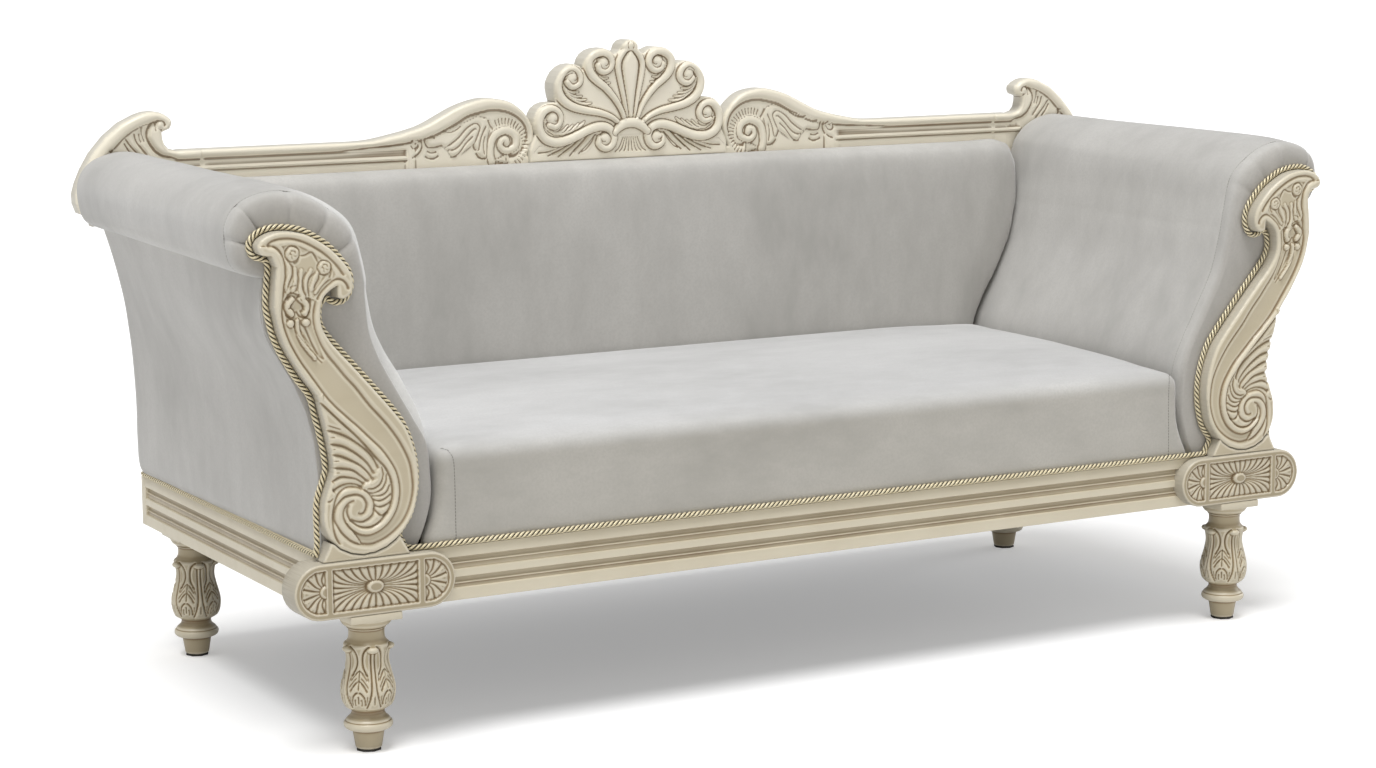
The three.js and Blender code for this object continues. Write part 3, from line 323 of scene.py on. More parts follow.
def acanthus(board):
    """Half a leaf and half the curled stem beside it; the other halves mirror them."""
    x, z = board["x"], board["z"]
    stem = np.interp(z, [70, 78, 90, 100, 158], [13, 16.5, 20.5, 21.6, 21.6])
    rib = unit(1 - (LEAF_HALF - x) / np.maximum(LEAF_HALF - stem, 1))
    board["h"] += 1.5 * arched(1 - rib) * unit((158 - z) / 4)
    for cut in ACANTHUS_CUTS:
        cut_line(board, *cut)
    off = np.hypot((x - LEAF_HALF) / 10.5, (z - 161) / 5.2)
    set_level(board, off < 1, np.maximum(board["h"], 7 * arched(off)))


def turned_leg():
    """A leg turned from its profile, with leaves round the bulb and a block on top."""
    bm = bmesh.new()
    drawn = flowing(LEG_PROFILE, 8)
    along = distances(drawn)
    profile = [[np.interp(at, along, drawn[:, i]) for i in (0, 1)] for at in np.arange(0, along[-1], LEG_RING_GAP)]
    ring = [bm.verts.new((r * MM, 0, z * MM)) for r, z in [*profile, drawn[-1]]]
    edges = [bm.edges.new(pair) for pair in zip(ring[:-1], ring[1:])]
    bmesh.ops.spin(bm, geom=ring + edges, axis=(0, 0, 1), cent=(0, 0, 0), steps=LEG_TURN_STEPS,
                   angle=math.tau, use_merge=True)
    place = np.array([v.co for v in bm.verts])
    radius = np.hypot(place[:, 0], place[:, 1])
    angle = np.arctan2(place[:, 1], place[:, 0])
    sector = math.tau / LEAF_COUNT
    offset = (angle - LEAF_PHASE + sector / 2) % sector - sector / 2
    leaf = {"x": np.abs(offset) * 2 * LEAF_HALF / sector, "z": place[:, 2] / MM, "h": np.zeros(len(place))}
    acanthus(leaf)
    on_bulb = unit((leaf["z"] - 66) / 4) * unit((168 - leaf["z"]) / 1.5)
    place[:, :2] *= (1 + leaf["h"] * on_bulb * MM / np.maximum(radius, 0.01))[:, None]
    for vert, moved in zip(bm.verts, place):
        vert.co = moved
    bmesh.ops.holes_fill(bm, edges=[e for e in bm.edges if e.is_boundary], sides=0)
    bmesh.ops.recalc_face_normals(bm, faces=bm.faces)
    add_block(bm, *LEG_BLOCK, 1.5)
    return bm


for name, (x, y) in LEG_PLACES.items():
    bm = turned_leg()
    bmesh.ops.translate(bm, vec=(x * MM, y * MM, 0), verts=bm.verts)
    painted_piece(f"turned_leg_{name}", bm, painted_low, f"leg_{name}", 1.2)

glide_dark, tree, shader = node_tree("glide_plastic")
plug(tree, shader, {
    "Roughness": ranged(tree, object_noise(tree, 300), 0.3, 0.7, 0.45, 0.7),
    "Base Color": blended(tree, object_noise(tree, 80), (0.02, 0.018, 0.016, 1), (0.05, 0.042, 0.035, 1))})
bumped(tree, shader, (object_noise(tree, 900), 0.0002, 0.4))

# Base rails: painted rails round the seat. The front and side rails have two flutes, each a cove
# with a fillet below it; on the side rails the flutes stop short of the rear corner.
RAIL_FACE = [
    (1, 218), (0, 219), (0, 236.4), (0.5, 237.1), (3.1, 238.3), (3.4, 239), (3.4, 243.2), (2.4, 243.9),
    (2.1, 244.5), (2.6, 245.1), (4.6, 246.2), (5.8, 248.4), (6.2, 250.6), (5.8, 252.5), (4.8, 253.7), (0.7, 254.2),
    (0, 254.9), (0, 265.5), (0.5, 266.2), (3.1, 267.4), (3.4, 268.1), (3.4, 274.4), (2.4, 275.1), (2.1, 275.7),
    (2.6, 276.3), (4.8, 277.5), (6.2, 280), (6.7, 282.2), (6.2, 284), (5.1, 285.1), (0.7, 285.6), (0, 286.3),
    (0, 301.2), (0.5, 302.5), (1.8, 303)]
RAIL_DEPTH, RAIL_LOW, RAIL_TOP = 45, 218, 303
RAIL_FRONT, RAIL_SIDE = -391, 908
FRONT_RAIL_HALF = 862.7
SIDE_RAIL_START, FLUTES_END, RAIL_END = -361.7, 393, 413
SIDES = (("left", -1), ("right", 1))


def rail_length(place, start, end):
    """A length of moulded rail. Place turns depth, height and run into a point."""
    bm = bmesh.new()
    section = RAIL_FACE + [(RAIL_DEPTH, RAIL_TOP), (RAIL_DEPTH, RAIL_LOW)]
    face = bm.faces.new([bm.verts.new(place(d, z, start) * MM) for d, z in section])
    swept = bmesh.ops.extrude_face_region(bm, geom=[face])
    moved = [g for g in swept["geom"] if isinstance(g, bmesh.types.BMVert)]
    bmesh.ops.translate(bm, vec=(place(0, 0, end) - place(0, 0, start)) * MM, verts=moved)
    bmesh.ops.recalc_face_normals(bm, faces=bm.faces)
    return bm


bm = rail_length(lambda d, z, run: Vector((run, RAIL_FRONT + d, z)), -FRONT_RAIL_HALF, FRONT_RAIL_HALF)
painted_piece("moulded_front_rail", bm, painted_wood, "front_rail", 0.35, 0, 25)
for side, sign in SIDES:
    bm = rail_length(lambda d, z, run: Vector((sign * (RAIL_SIDE - d), run, z)), SIDE_RAIL_START, FLUTES_END)
    middle, half = sign * (RAIL_SIDE - RAIL_DEPTH / 2), RAIL_DEPTH / 2
    add_block(bm, (middle - half, FLUTES_END, RAIL_LOW), (middle + half, RAIL_END, RAIL_TOP), 1.2)
    painted_piece(f"moulded_side_rail_{side}", bm, painted_wood, f"side_rail_{side}", 0.35, 0, 25)

# Corner plaques: thick bars with round ends over the front legs. Each has a petalled panel round
# an oval boss and half a rosette at either end, all cut below a flat rim.
PLAQUE_X, PLAQUE_Z = 832, 260.5
PLAQUE_FRONT, PLAQUE_BACK = -413, -362
PLAQUE_CUTS = [(70, 5.5, 4), (70, 17, 15), (69, 33, 26), (54, 33, 38), (40, 33, 50), (26, 33, 63), (12.5, 33, 76)]
ROSETTE_CUTS = np.radians([-74, -53, -32, -11, 11, 32, 53, 74])
# An even deeper tan for the plaques: partly a brown wash, partly painted shade.
painted_plaque = paint_finish("painted_plaque", (0.36, 0.297, 0.19, 1), 0.92)


def off_outline(x, z, outline):
    """How far inside an outline each point lies, and the nearest place on it."""
    outline = np.array(outline, dtype=float)
    off, near_x, near_z = np.full(x.shape, 1e9), np.zeros(x.shape), np.zeros(x.shape)
    inside = np.zeros(x.shape, dtype=bool)
    for (ax, az), (bx, bz) in zip(outline, np.roll(outline, -1, axis=0)):
        run_x, run_z = bx - ax, bz - az
        t = unit(((x - ax) * run_x + (z - az) * run_z) / max(run_x ** 2 + run_z ** 2, 1e-9))
        px, pz = ax + t * run_x, az + t * run_z
        d = np.hypot(x - px, z - pz)
        closer = d < off
        off, near_x, near_z = (np.where(closer, new, before) for new, before in
                               ((d, off), (px, near_x), (pz, near_z)))
        if az != bz:
            inside ^= ((az > z) != (bz > z)) & (x < ax + (z - az) / (bz - az) * run_x)
    return np.where(inside, off, -off), near_x, near_z


def depth_inside(board, outline):
    """How far inside an outline each point of a board lies; negative outside it."""
    return off_outline(board["x"], board["z"], outline)[0]


def sawn_board(outline, grain, stretch=None):
    """A fine net of faces cut to an outline, with its edge points moved onto the outline."""
    outline = np.array(outline, dtype=float)
    low, high = outline.min(0), outline.max(0)
    bm = bmesh.new()
    counts = [max(int(round(size / grain)), 2) for size in high - low]
    bmesh.ops.create_grid(bm, x_segments=counts[0], y_segments=counts[1], size=0.5)
    place = np.array([v.co for v in bm.verts])
    share = (place[:, :2] - place[:, :2].min(0)) / np.ptp(place[:, :2], axis=0)
    x = low[0] + share[:, 0] * (high[0] - low[0])
    z = low[1] + share[:, 1] * (high[1] - low[1])
    if stretch is not None:
        x = np.interp(share[:, 0], *stretch)
    off, near_x, near_z = off_outline(x, z, outline)
    bm.verts.ensure_lookup_table()
    bm.verts.index_update()
    outside = [f for f in bm.faces if sum(off[v.index] for v in f.verts) <= 0]
    for i, vert in enumerate(bm.verts):
        vert.co = (x[i], 0, z[i])
    bmesh.ops.delete(bm, geom=outside, context="FACES")
    loose = [v for v in bm.verts if not v.link_faces]
    bmesh.ops.delete(bm, geom=loose, context="VERTS")
    rim = [v for v in bm.verts if v.is_boundary]
    _, rim_x, rim_z = off_outline(np.array([v.co.x for v in rim]), np.array([v.co.z for v in rim]), outline)
    for vert, px, pz in zip(rim, rim_x, rim_z):
        vert.co = (px, 0, pz)
    place = np.array([v.co for v in bm.verts])
    board = {"x": place[:, 0], "z": place[:, 2], "h": np.zeros(len(place))}
    board["off"] = np.maximum(depth_inside(board, outline), 0)
    return bm, board


def round_edge(board, radius):
    """Rounds the front edge over, all the way round."""
    board["h"] = board["h"] - radius * (1 - arched(unit(1 - board["off"] / radius)))


def stand_up(bm, board, front, back, sign=1, centre_x=0.0, rear_round=0):
    """Gives the carved face its depth: front and back are places in y, in millimetres. Where the rear edge is rounded
    too, the back is a twin of the front's net. The sawn sides are marked for painted shade, a greyer and darker paint
    that stands in for the shade on them."""
    sawn = bm.verts.layers.float.new("sawn")
    verts, faces = list(bm.verts), list(bm.faces)
    for vert, x, z, h, off in zip(verts, board["x"], board["z"], board["h"], board["off"]):
        vert.co = (sign * (x + centre_x) * MM, (front - h) * MM, z * MM)
        vert[sawn] = float(vert.is_boundary and off < 1)
    bmesh.ops.smooth_vert(bm, verts=[v for v in verts if not v.is_boundary], factor=0.35, use_axis_y=True)
    rim = [e for e in bm.edges if e.is_boundary]
    if rear_round:
        twin = bmesh.ops.duplicate(bm, geom=verts + rim + faces)
        in_from_back = rear_round * (1 - arched(unit(1 - board["off"] / rear_round)))
        for vert, inward in zip(verts, in_from_back):
            twin["vert_map"][vert].co.y = (back - inward) * MM
            twin["vert_map"][vert][sawn] = 1.0
        bmesh.ops.bridge_loops(bm, edges=rim + [twin["edge_map"][e] for e in rim])
    else:
        swept = bmesh.ops.extrude_edge_only(bm, edges=rim)["geom"]
        for vert in [g for g in swept if isinstance(g, bmesh.types.BMVert)]:
            vert.co.y = back * MM
            vert[sawn] = 1.0
        bmesh.ops.holes_fill(bm, edges=[e for e in bm.edges if e.is_boundary], sides=0)
    bmesh.ops.recalc_face_normals(bm, faces=bm.faces)


def capsule(half_width, half_height):
    """The outline of a bar with round ends."""
    turns = np.linspace(-math.pi / 2, math.pi / 2, 17)
    right = [(half_width - half_height + half_height * math.cos(t), half_height * math.sin(t)) for t in turns]
    return right + [(-x, -z) for x, z in right]


def bent(start, bend, end, steps=8):
    """A line that leaves its start towards a bend and arrives at its end from there."""
    t = np.linspace(0, 1, steps)[:, None]
    start, bend, end = np.array(start), np.array(bend), np.array(end)
    return (1 - t) ** 2 * start + 2 * t * (1 - t) * bend + t ** 2 * end


def carve_plaque(board):
    """The petals, the oval boss and the two half rosettes. Cuts stay inside their own field."""
    x, z = board["x"], board["z"]
    panel = np.minimum(70 - np.abs(x), 32.8 - np.abs(z))
    ends = np.minimum(np.abs(x) - 80, depth_inside(board, capsule(123, 34.5)) - 1.5)
    sunk = np.maximum(panel, ends)
    board["h"] += 1.8 * unit((sunk - 1.5) / 5) ** 0.7 - 2.6 * unit(sunk / 1.6)
    lines = [[(0, 8), (0, 33)], [(0, -8), (0, -33)]]
    for end_x, end_z, turn in PLAQUE_CUTS:
        for sx, sz in ((-1, -1), (-1, 1), (1, -1), (1, 1)):
            leave = math.radians(turn)
            start = (sx * 13 * math.cos(leave), sz * 8.8 * math.sin(leave))
            over = (sx * end_x * 0.8, start[1] + (sz * end_z - start[1]) * (0.18 if end_z > 20 else 0.35))
            lines.append(bent(start, over, (sx * end_x, sz * end_z)))
    kept = board["h"].copy()
    for line in lines:
        cut_line(board, line, 5.2, 3.6, 0.02)
    set_level(board, panel <= 0.4, kept)
    boss = np.hypot(x / 13.2, z / 9)
    set_level(board, boss < 1.18, np.minimum(board["h"], -2.6))
    set_level(board, boss < 1, -2.4 + 2.2 * unit((1 - boss) * 4) ** 0.5)
    for side in (-1, 1):
        for turn in ROSETTE_CUTS:
            kept = board["h"].copy()
            cut_line(board, [(side * (80 + reach * math.cos(turn * sway)), reach * math.sin(turn * sway))
                             for reach, sway in ((8, 1), (20, 0.96), (37.5 if abs(turn) < 1 else 33, 1.18))],
                     4.8, 3.3, 0.02)
            set_level(board, ends <= 0, kept)
        hub = np.hypot(np.abs(x - side * 80), z) / 9.5
        in_end = (np.abs(x) > 80) & (x * side > 0)
        set_level(board, in_end & (hub < 1), -2.6 + 2 * unit((1 - hub) * 4) ** 0.5)
    round_edge(board, 2.2)


for side, sign in SIDES:
    bm, board = sawn_board(capsule(131, 42.5), 1.05)
    carve_plaque(board)
    board["z"] = board["z"] + PLAQUE_Z
    stand_up(bm, board, PLAQUE_FRONT, PLAQUE_BACK, sign, PLAQUE_X)
    painted_piece(f"carved_plaque_{side}", bm, painted_plaque, f"corner_plaque_{side}", 1.3)

# Seat: a tight foam cushion on webbing, covered in pale grey velvet with a seam down each front
# corner. The cover is pulled down behind the front rail's cord, so only its edges swell.
SEAT_LOW, SEAT_HIGH = (-716, -388, 304.5), (716, 259, 452)
CLOTH_GRAIN, SIM_FRAMES, SIM_PRESSURE = 9, 20, 4
STITCH = 3.4
# The second grey is lighter, for a painted highlight.
GREY, HIGHLIGHT_GREY = (0.51, 0.5, 0.478, 1), (0.68, 0.675, 0.66, 1)


def velvet_finish(name, stretch, tones, axis="Z"):
    """Short pile velvet: the pile lies in soft cloudy patches and catches light at the edges. The tone may change
    along an axis: painted shade where a face gets less light and painted light where it gets more. Where the mesh
    marks it, a lighter grey is laid on as a painted highlight."""
    material, tree, shader = node_tree(name)
    patch = object_noise(tree, 5.5, 5, stretch, 0.62)
    streak_and_highlight = object_noise(tree, 26, 4, stretch, 0.6)
    mottle = object_noise(tree, 240, 3)
    pile = object_noise(tree, 900, 2)
    place = new_node(tree, "TexCoord", {}).outputs["Object"]
    apart = new_node(tree, "SeparateXYZ", {"Vector": place}).outputs[axis]
    tone = layered(tree, tones[0][1], *((apart, start, end, 1, next_tone) for (start, _), (end, next_tone)
                                        in zip(tones[:-1], tones[1:])))
    # A lighter grey where the mesh marks it: a painted highlight.
    tone = blended(tree, mesh_value(tree, "streak_and_highlight"), tone, HIGHLIGHT_GREY)
    pile_and_highlight = layered(tree, (0.86, 0.86, 0.855, 1), (patch, 0.34, 0.68, 1, (1.1, 1.1, 1.1, 1)),
                  (streak_and_highlight, 0.38, 0.72, 0.4, (1.18, 1.18, 1.18, 1)),
                  (mottle, 0.4, 0.65, 0.3, (0.86, 0.86, 0.855, 1)), (pile, 0.55, 0.75, 0.16, (0.7, 0.7, 0.69, 1)))
    plug(tree, shader, {"Base Color": blended(tree, 1.0, tone, pile_and_highlight, "MULTIPLY"), "Roughness": 0.92,
                        "Specular IOR Level": 0.12, "Sheen Weight": 0.5, "Sheen Roughness": 0.4,
                        "Sheen Tint": (0.97, 0.98, 1, 1)})
    bumped(tree, shader, (pile, 0.0005, 0.35), (streak_and_highlight, 0.002, 0.15))
    return material


velvet = velvet_finish("velvet", (1, 1, 0.45), [(0, GREY)])
# The seat's front is darker and its top lighter: painted shade on the front, painted light on the top.
velvet_seat = velvet_finish("velvet_seat", (0.5, 1, 1), [(0.43, (0.455, 0.44, 0.405, 1)),
                                                         (0.462, (0.55, 0.55, 0.55, 1))])


def puffed(name, bm, material, nodes, voxel, cap, hold):
    """A stuffed cover: remeshed, blown up by a short cloth simulation, held back to a cap, and
    smoothed. Hold gives a share from 0 to 1 of how freely each point may move."""
    mesh = bpy.data.meshes.new(name)
    bm.to_mesh(mesh)
    bm.free()
    piece = bpy.data.objects.new(name, mesh)
    scene.collection.objects.link(piece)
    bpy.context.view_layer.objects.active = piece
    remesh = piece.modifiers.new("remesh", "REMESH")
    remesh.mode = "VOXEL"
    remesh.voxel_size = voxel * MM
    bpy.ops.object.modifier_apply(modifier="remesh")
    mesh = piece.data
    before = read_points(mesh)
    move = np.zeros_like(before)
    cloth = piece.modifiers.new("cloth", "CLOTH")
    cloth.settings.use_pressure = True
    cloth.settings.uniform_pressure_force = SIM_PRESSURE
    cloth.settings.effector_weights.gravity = 0
    cloth.settings.quality = 4
    cloth.point_cache.frame_start, cloth.point_cache.frame_end = 1, SIM_FRAMES
    for step in range(1, SIM_FRAMES + 1):
        scene.frame_set(step)
    move = read_points(piece.evaluated_get(bpy.context.evaluated_depsgraph_get()).to_mesh()) - before
    piece.modifiers.remove(cloth)
    scene.frame_set(1)
    length = np.maximum(np.linalg.norm(move, axis=1), 1e-9)
    freedom = np.minimum(length, cap * MM) / length * hold(before)
    mesh.vertices.foreach_set("co", (before + move * freedom[:, None]).ravel())
    bm = bmesh.new()
    bm.from_mesh(mesh)
    for _ in range(3):
        bmesh.ops.smooth_vert(bm, verts=bm.verts, factor=0.5, use_axis_x=True, use_axis_y=True,
                              use_axis_z=True)
    bpy.data.objects.remove(piece)
    piece = set_down(name, bm, material, nodes, 60)
    return piece


def seat_hold(place):
    """The top swells a little, the foot is tacked down."""
    return unit((place[:, 2] / MM - 320) / 90)


def seat_shape(place):
    """The stuffing rises towards the back, the foot spreads over the arm fronts, and the rear ends
    follow the arms outwards."""
    x, y, z = (place / MM).T
    end = unit((np.abs(x) - 600) / 115)
    crown = 1 - 0.42 * unit((np.abs(x) - 480) / 236) ** 2
    rise = 24 * crown * unit((z - 400) / 45) * (1 - (1 - unit((y + 388) / 420)) ** 1.8)
    foot = 27 * unit((383 - z) / 79) ** 1.9 * unit((-320 - y) / 40)
    out = np.sign(x) * end * (24 * unit((y + 350) / 668) + foot)
    return np.stack([x + out, y, z + rise], axis=1) * MM


bm = bmesh.new()
add_block(bm, SEAT_LOW, SEAT_HIGH, 15, 4, lambda at: at.z < 310 or at.y > 250)
seat = puffed("seat_velvet", bm, velvet_seat, ["seat_cover", "seat_foam"], CLOTH_GRAIN, 4, seat_hold)
seat.data.vertices.foreach_set("co", seat_shape(read_points(seat.data)).ravel())
seat.data.update()

thread, tree, shader = node_tree("thread")
twist = object_noise(tree, 700, 2)
plug(tree, shader, {"Base Color": blended(tree, twist, (0.17, 0.16, 0.145, 1), (0.29, 0.28, 0.26, 1)),
                    "Roughness": ranged(tree, twist, 0.3, 0.7, 0.6, 0.85)})
bumped(tree, shader, (twist, 0.0003, 0.5))


def round_threads(name, lines, radius, roundness):
    """Round threads, each along a line of places in metres, as one mesh."""
    data = bpy.data.curves.new(name, "CURVE")
    data.dimensions = "3D"
    data.bevel_depth = radius * MM
    data.bevel_resolution = roundness
    data.use_fill_caps = True
    for line in lines:
        spline = data.splines.new("POLY")
        spline.points.add(len(line) - 1)
        for point, place in zip(spline.points, line):
            point.co = (*place, 1)
    curve = bpy.data.objects.new(name + "_line", data)
    scene.collection.objects.link(curve)
    mesh = bpy.data.meshes.new_from_object(curve.evaluated_get(bpy.context.evaluated_depsgraph_get()))
    bpy.data.objects.remove(curve)
    bm = bmesh.new()
    bm.from_mesh(mesh)
    bmesh.ops.recalc_face_normals(bm, faces=bm.faces)
    return bm


def stitches(name, points, radius, onto=None, steps=6):
    """A sewn seam: short stitches one after another, laid onto a piece where one is given."""
    line = flowing(points, steps)
    along = distances(line)
    lines = []
    for start in np.arange(0, along[-1] - STITCH, STITCH * 1.5):
        stitch = [Vector([np.interp(at, along, line[:, i]) * MM for i in range(3)])
                  for at in (start, start + STITCH / 2, start + STITCH)]
        lines.append([onto.closest_point_on_mesh(place)[1] for place in stitch] if onto else stitch)
    set_down(name, round_threads(name, lines, radius, 0), thread, crisp=60)


for side, sign in SIDES:
    stitches(f"seat_corner_seam_{side}",
             [(sign * 688, -391, 312), (sign * 688, -393, 360), (sign * 688, -393, 410), (sign * 689, -391, 436),
              (sign * 693, -384, 449), (sign * 700, -374, 455), (sign * 708, -366, 456)], 0.7, seat)

# Arms: padded over hidden posts and covered in the same velvet. The cover goes up the inner side,
# over the roll and under it; a front piece is gathered in pleats round the carved facing's head.
ARM_INNER = [
    (745.5, 303.6), (731.5, 333.4), (719.5, 379.3), (719.5, 421.4), (724.5, 463.5), (741.5, 503.9),
    (771.9, 558.1), (806, 624.2), (823.5, 688), (828, 712), (832.5, 737), (843, 784), (866.1, 811.2),
    (904.1, 835.8), (945, 850), (982.1, 848.9), (1012, 838.5), (1028.5, 818.5), (1034, 793.1),
    (1028, 755.5), (1014, 738.5), (994.1, 731.5), (986, 730)]
ARM_OUTER = [
    (984.5, 731), (988.5, 695.3), (984, 655.4), (965, 612.2), (939.9, 570.1), (921.9, 527.4),
    (910.1, 480.4), (905.1, 430.1), (902.8, 370), (902.8, 325.2), (902.8, 303.6)]
FACING_INNER = [
    (784, 337.2), (766.2, 363.4), (758.3, 394.1), (756.1, 421.9), (759.9, 453.1), (769.4, 482.6),
    (783.6, 507.8), (821.1, 552.6), (863.8, 600.7), (885.1, 623.7), (898.1, 641.2), (906.3, 658.7),
    (907.6, 675.6), (905.1, 692), (899.4, 702.4), (890.2, 710), (881, 715)]
FACING_HEAD = [
    (880, 698), (869.6, 695.8), (858.1, 704), (855, 716.1), (856.9, 729.2), (866.1, 745.5),
    (890, 771), (922, 791), (940, 797), (957, 799.5), (972, 799.5), (985, 796.5),
    (996.5, 790.5), (1002.5, 783.5), (1003.2, 776.5), (999.5, 769.3), (992, 765.8), (982, 764.5)]
FACING_OUTER = [
    (975.5, 748.3), (978, 724.3), (980, 698), (979, 681.1), (967, 636.2), (939, 587),
    (917, 556.4), (909, 527.4), (901, 495.2), (894.5, 460.2), (893.2, 442.7), (894.5, 433.4),
    (907, 399.5), (909.8, 379.3), (909, 358.5), (902.5, 341)]
FACING_FOOT = [(894, 331), (885, 322.5), (867, 313.4), (848.6, 309.8), (829, 311.6), (810.6, 317.7), (796, 327)]
ARM_UNDER = [
    (780, 303.6), (783, 335), (768, 380), (765, 421), (772, 465), (793, 503), (836, 552), (893, 612), (912, 676),
    (889, 713), (869, 731), (884, 757), (903, 770), (922, 779), (944, 786), (964, 787), (978, 784), (987, 781),
    (994, 778), (992, 773), (986, 766), (974, 752), (970, 742)]
GATHERS = [10.9, 12.3, 13.85, 16.1, 18.1]
COVER_FOOT = 303.6
ARM_FRONT, ARM_PAD_FRONT, ARM_SEAM, ARM_BACK = -368.7, -378, -350, 317.7
EDGE_FALL, SEAM_DIP, REAR_LIFT = 28, 0.7, 12
FULLER = {-1: ([4, 5, 6.5, 7.3, 8, 9, 10, 13, 16], [0, -4, -5, -2, 4, 9, 10, 8, 0]),
          1: ([4, 6, 13, 16, 19.5, 21.5], [0, 2, 2, -8, -8, 0])}
EDGE_ROLL = {-1: ([3, 4, 5, 6, 7, 8, 10, 12, 14], [0, 16, 27, 30, 24, 18, 15, 8, 0]), 1: ([0], [0])}
FOLD_DEPTH = {-1: 1, 1: 0.55}
OUTER_REAR = [(0.833, 1), (0.776, 0.82), (0.727, 0.67), (0.688, 0.55), (0.658, 0.42), (0.64, 0.35),
              (0.628, 0.32), (0.618, 0.27), (0.612, 0.22), (0.6, 0.19), (0.561, 0.18)]
BACK_FOOT, BACK_HEAD = (402, 303), (360.3, 826)
BACK_HALF_WIDTH = 892.3

facing_outline = np.vstack([flowing(line, 3) for line in (FACING_INNER, FACING_HEAD, FACING_OUTER)] + [FACING_FOOT])


def inset_line(line, amount):
    """The same open line, moved to its left by an amount."""
    run = np.gradient(line, axis=0)
    run /= np.linalg.norm(run, axis=1)[:, None]
    return line + amount * np.stack([-run[:, 1], run[:, 0]], axis=1)


def cover_over(places, outward):
    """A cover drawn over a grid of places, in millimetres, its outside facing a given way."""
    rows, columns = places.shape[:2]
    bm = bmesh.new()
    bmesh.ops.create_grid(bm, x_segments=columns - 1, y_segments=rows - 1, size=0.5)
    order = sorted(bm.verts, key=lambda v: (round(v.co.y, 5), round(v.co.x, 5)))
    for vert, place in zip(order, places.reshape(-1, 3) * MM):
        vert.co = place
    bmesh.ops.recalc_face_normals(bm, faces=bm.faces)
    bm.normal_update()
    facing = sum((f.normal * f.calc_area() for f in bm.faces), Vector())
    if facing.dot(Vector(outward)) < 0:
        bmesh.ops.reverse_faces(bm, faces=bm.faces)
    bm.normal_update()
    return bm


def thickened(bm, thickness):
    """Gives a cover its thickness, in millimetres."""
    bmesh.ops.solidify(bm, geom=bm.faces[:], thickness=thickness * MM)
    bmesh.ops.recalc_face_normals(bm, faces=bm.faces)
    return bm


def arm_edge(sign, steps):
    """The seam line between cover and front. Each arm is stuffed in its own way, so its line lies
    a little further out or in than the drawn one."""
    line = flowing(ARM_INNER, steps)
    more = np.interp(np.arange(len(line)) / steps, *FULLER[sign])
    return line + (inset_line(line, 1) - line) * more[:, None]


def arm_cover(sign):
    """The long cover from the front seam to the back pad. It dips into the seam, swells behind it and is turned in at
    its rear end. Towards the back its inner side leans out and its roll rises a little. On the left arm a strip by
    the seam is marked for a painted highlight."""
    outer = arm_edge(sign, 5)
    way = inset_line(outer, 1) - outer
    number = np.arange(len(outer)) / 5
    roll = np.where(number > 15, 1, unit((outer[:, 1] - 735) / 60))
    fullness = 6 * np.interp(number, [3, 5, 17, 20], [0, 1, 1, 0])[:, None]
    edge_roll = np.interp(number, *EDGE_ROLL[sign])[:, None]
    length = ARM_BACK - ARM_SEAM
    rows = []
    for at in [0, 1.5, 4, 7, 11, 16] + [22 + (length - 22) * i / 26 for i in range(27)]:
        rear = at / length
        swell = fullness * (1 - math.exp(-at / 40)) + edge_roll * (1 - math.exp(-at / 6)) * math.exp(-at / 70)
        line = outer + way * (swell * (1 - rear) - SEAM_DIP * max(1 - at / 4, 0) ** 2)
        lean = rear * np.interp(line[:, 1], [560, 700, 790, 830], [24, 16, 13, 0]) * (line[:, 0] < 900)
        rows.append(np.stack([sign * (line[:, 0] + lean), np.full(len(line), ARM_SEAM + at),
                              np.maximum(line[:, 1], COVER_FOOT) + rear * REAR_LIFT * roll], axis=1))
    turned_in = rows[-1].copy()
    turned_in[:, ::2] -= way * (sign, 1) * 16 * np.minimum(roll, 1)[:, None]
    rows += [rows[-1] * 0.7 + turned_in * 0.3, turned_in]
    bm = cover_over(np.array(rows), (-sign, 0, 0.6))
    # A strip by the seam on the left arm is marked for a lighter grey: a painted highlight.
    pile_and_highlight = bm.verts.layers.float.new("streak_and_highlight")
    for vert in bm.verts:
        behind, across = vert.co.y / MM - ARM_SEAM, abs(vert.co.x) / MM
        vert[pile_and_highlight] = (sign < 0) * unit(1.4 - behind / 20) * unit((940 - across) / 60)
    ripple(bm, 1.4, 150, 2.0 + sign, lambda co: unit((co.y / MM - ARM_SEAM) / 50))
    return thickened(bm, 5)


def ripple(bm, height, length, seed, keep=lambda co: 1.0):
    """Slight unevenness of stuffing under a cover, in millimetres."""
    bm.normal_update()
    moves = []
    for vert in bm.verts:
        lump = noise.noise(vert.co / (length * MM) + Vector((seed, seed * 0.7, seed * 1.3)))
        moves.append(vert.normal * (lump * height * MM * keep(vert.co)))
    for vert, move in zip(bm.verts, moves):
        vert.co += move


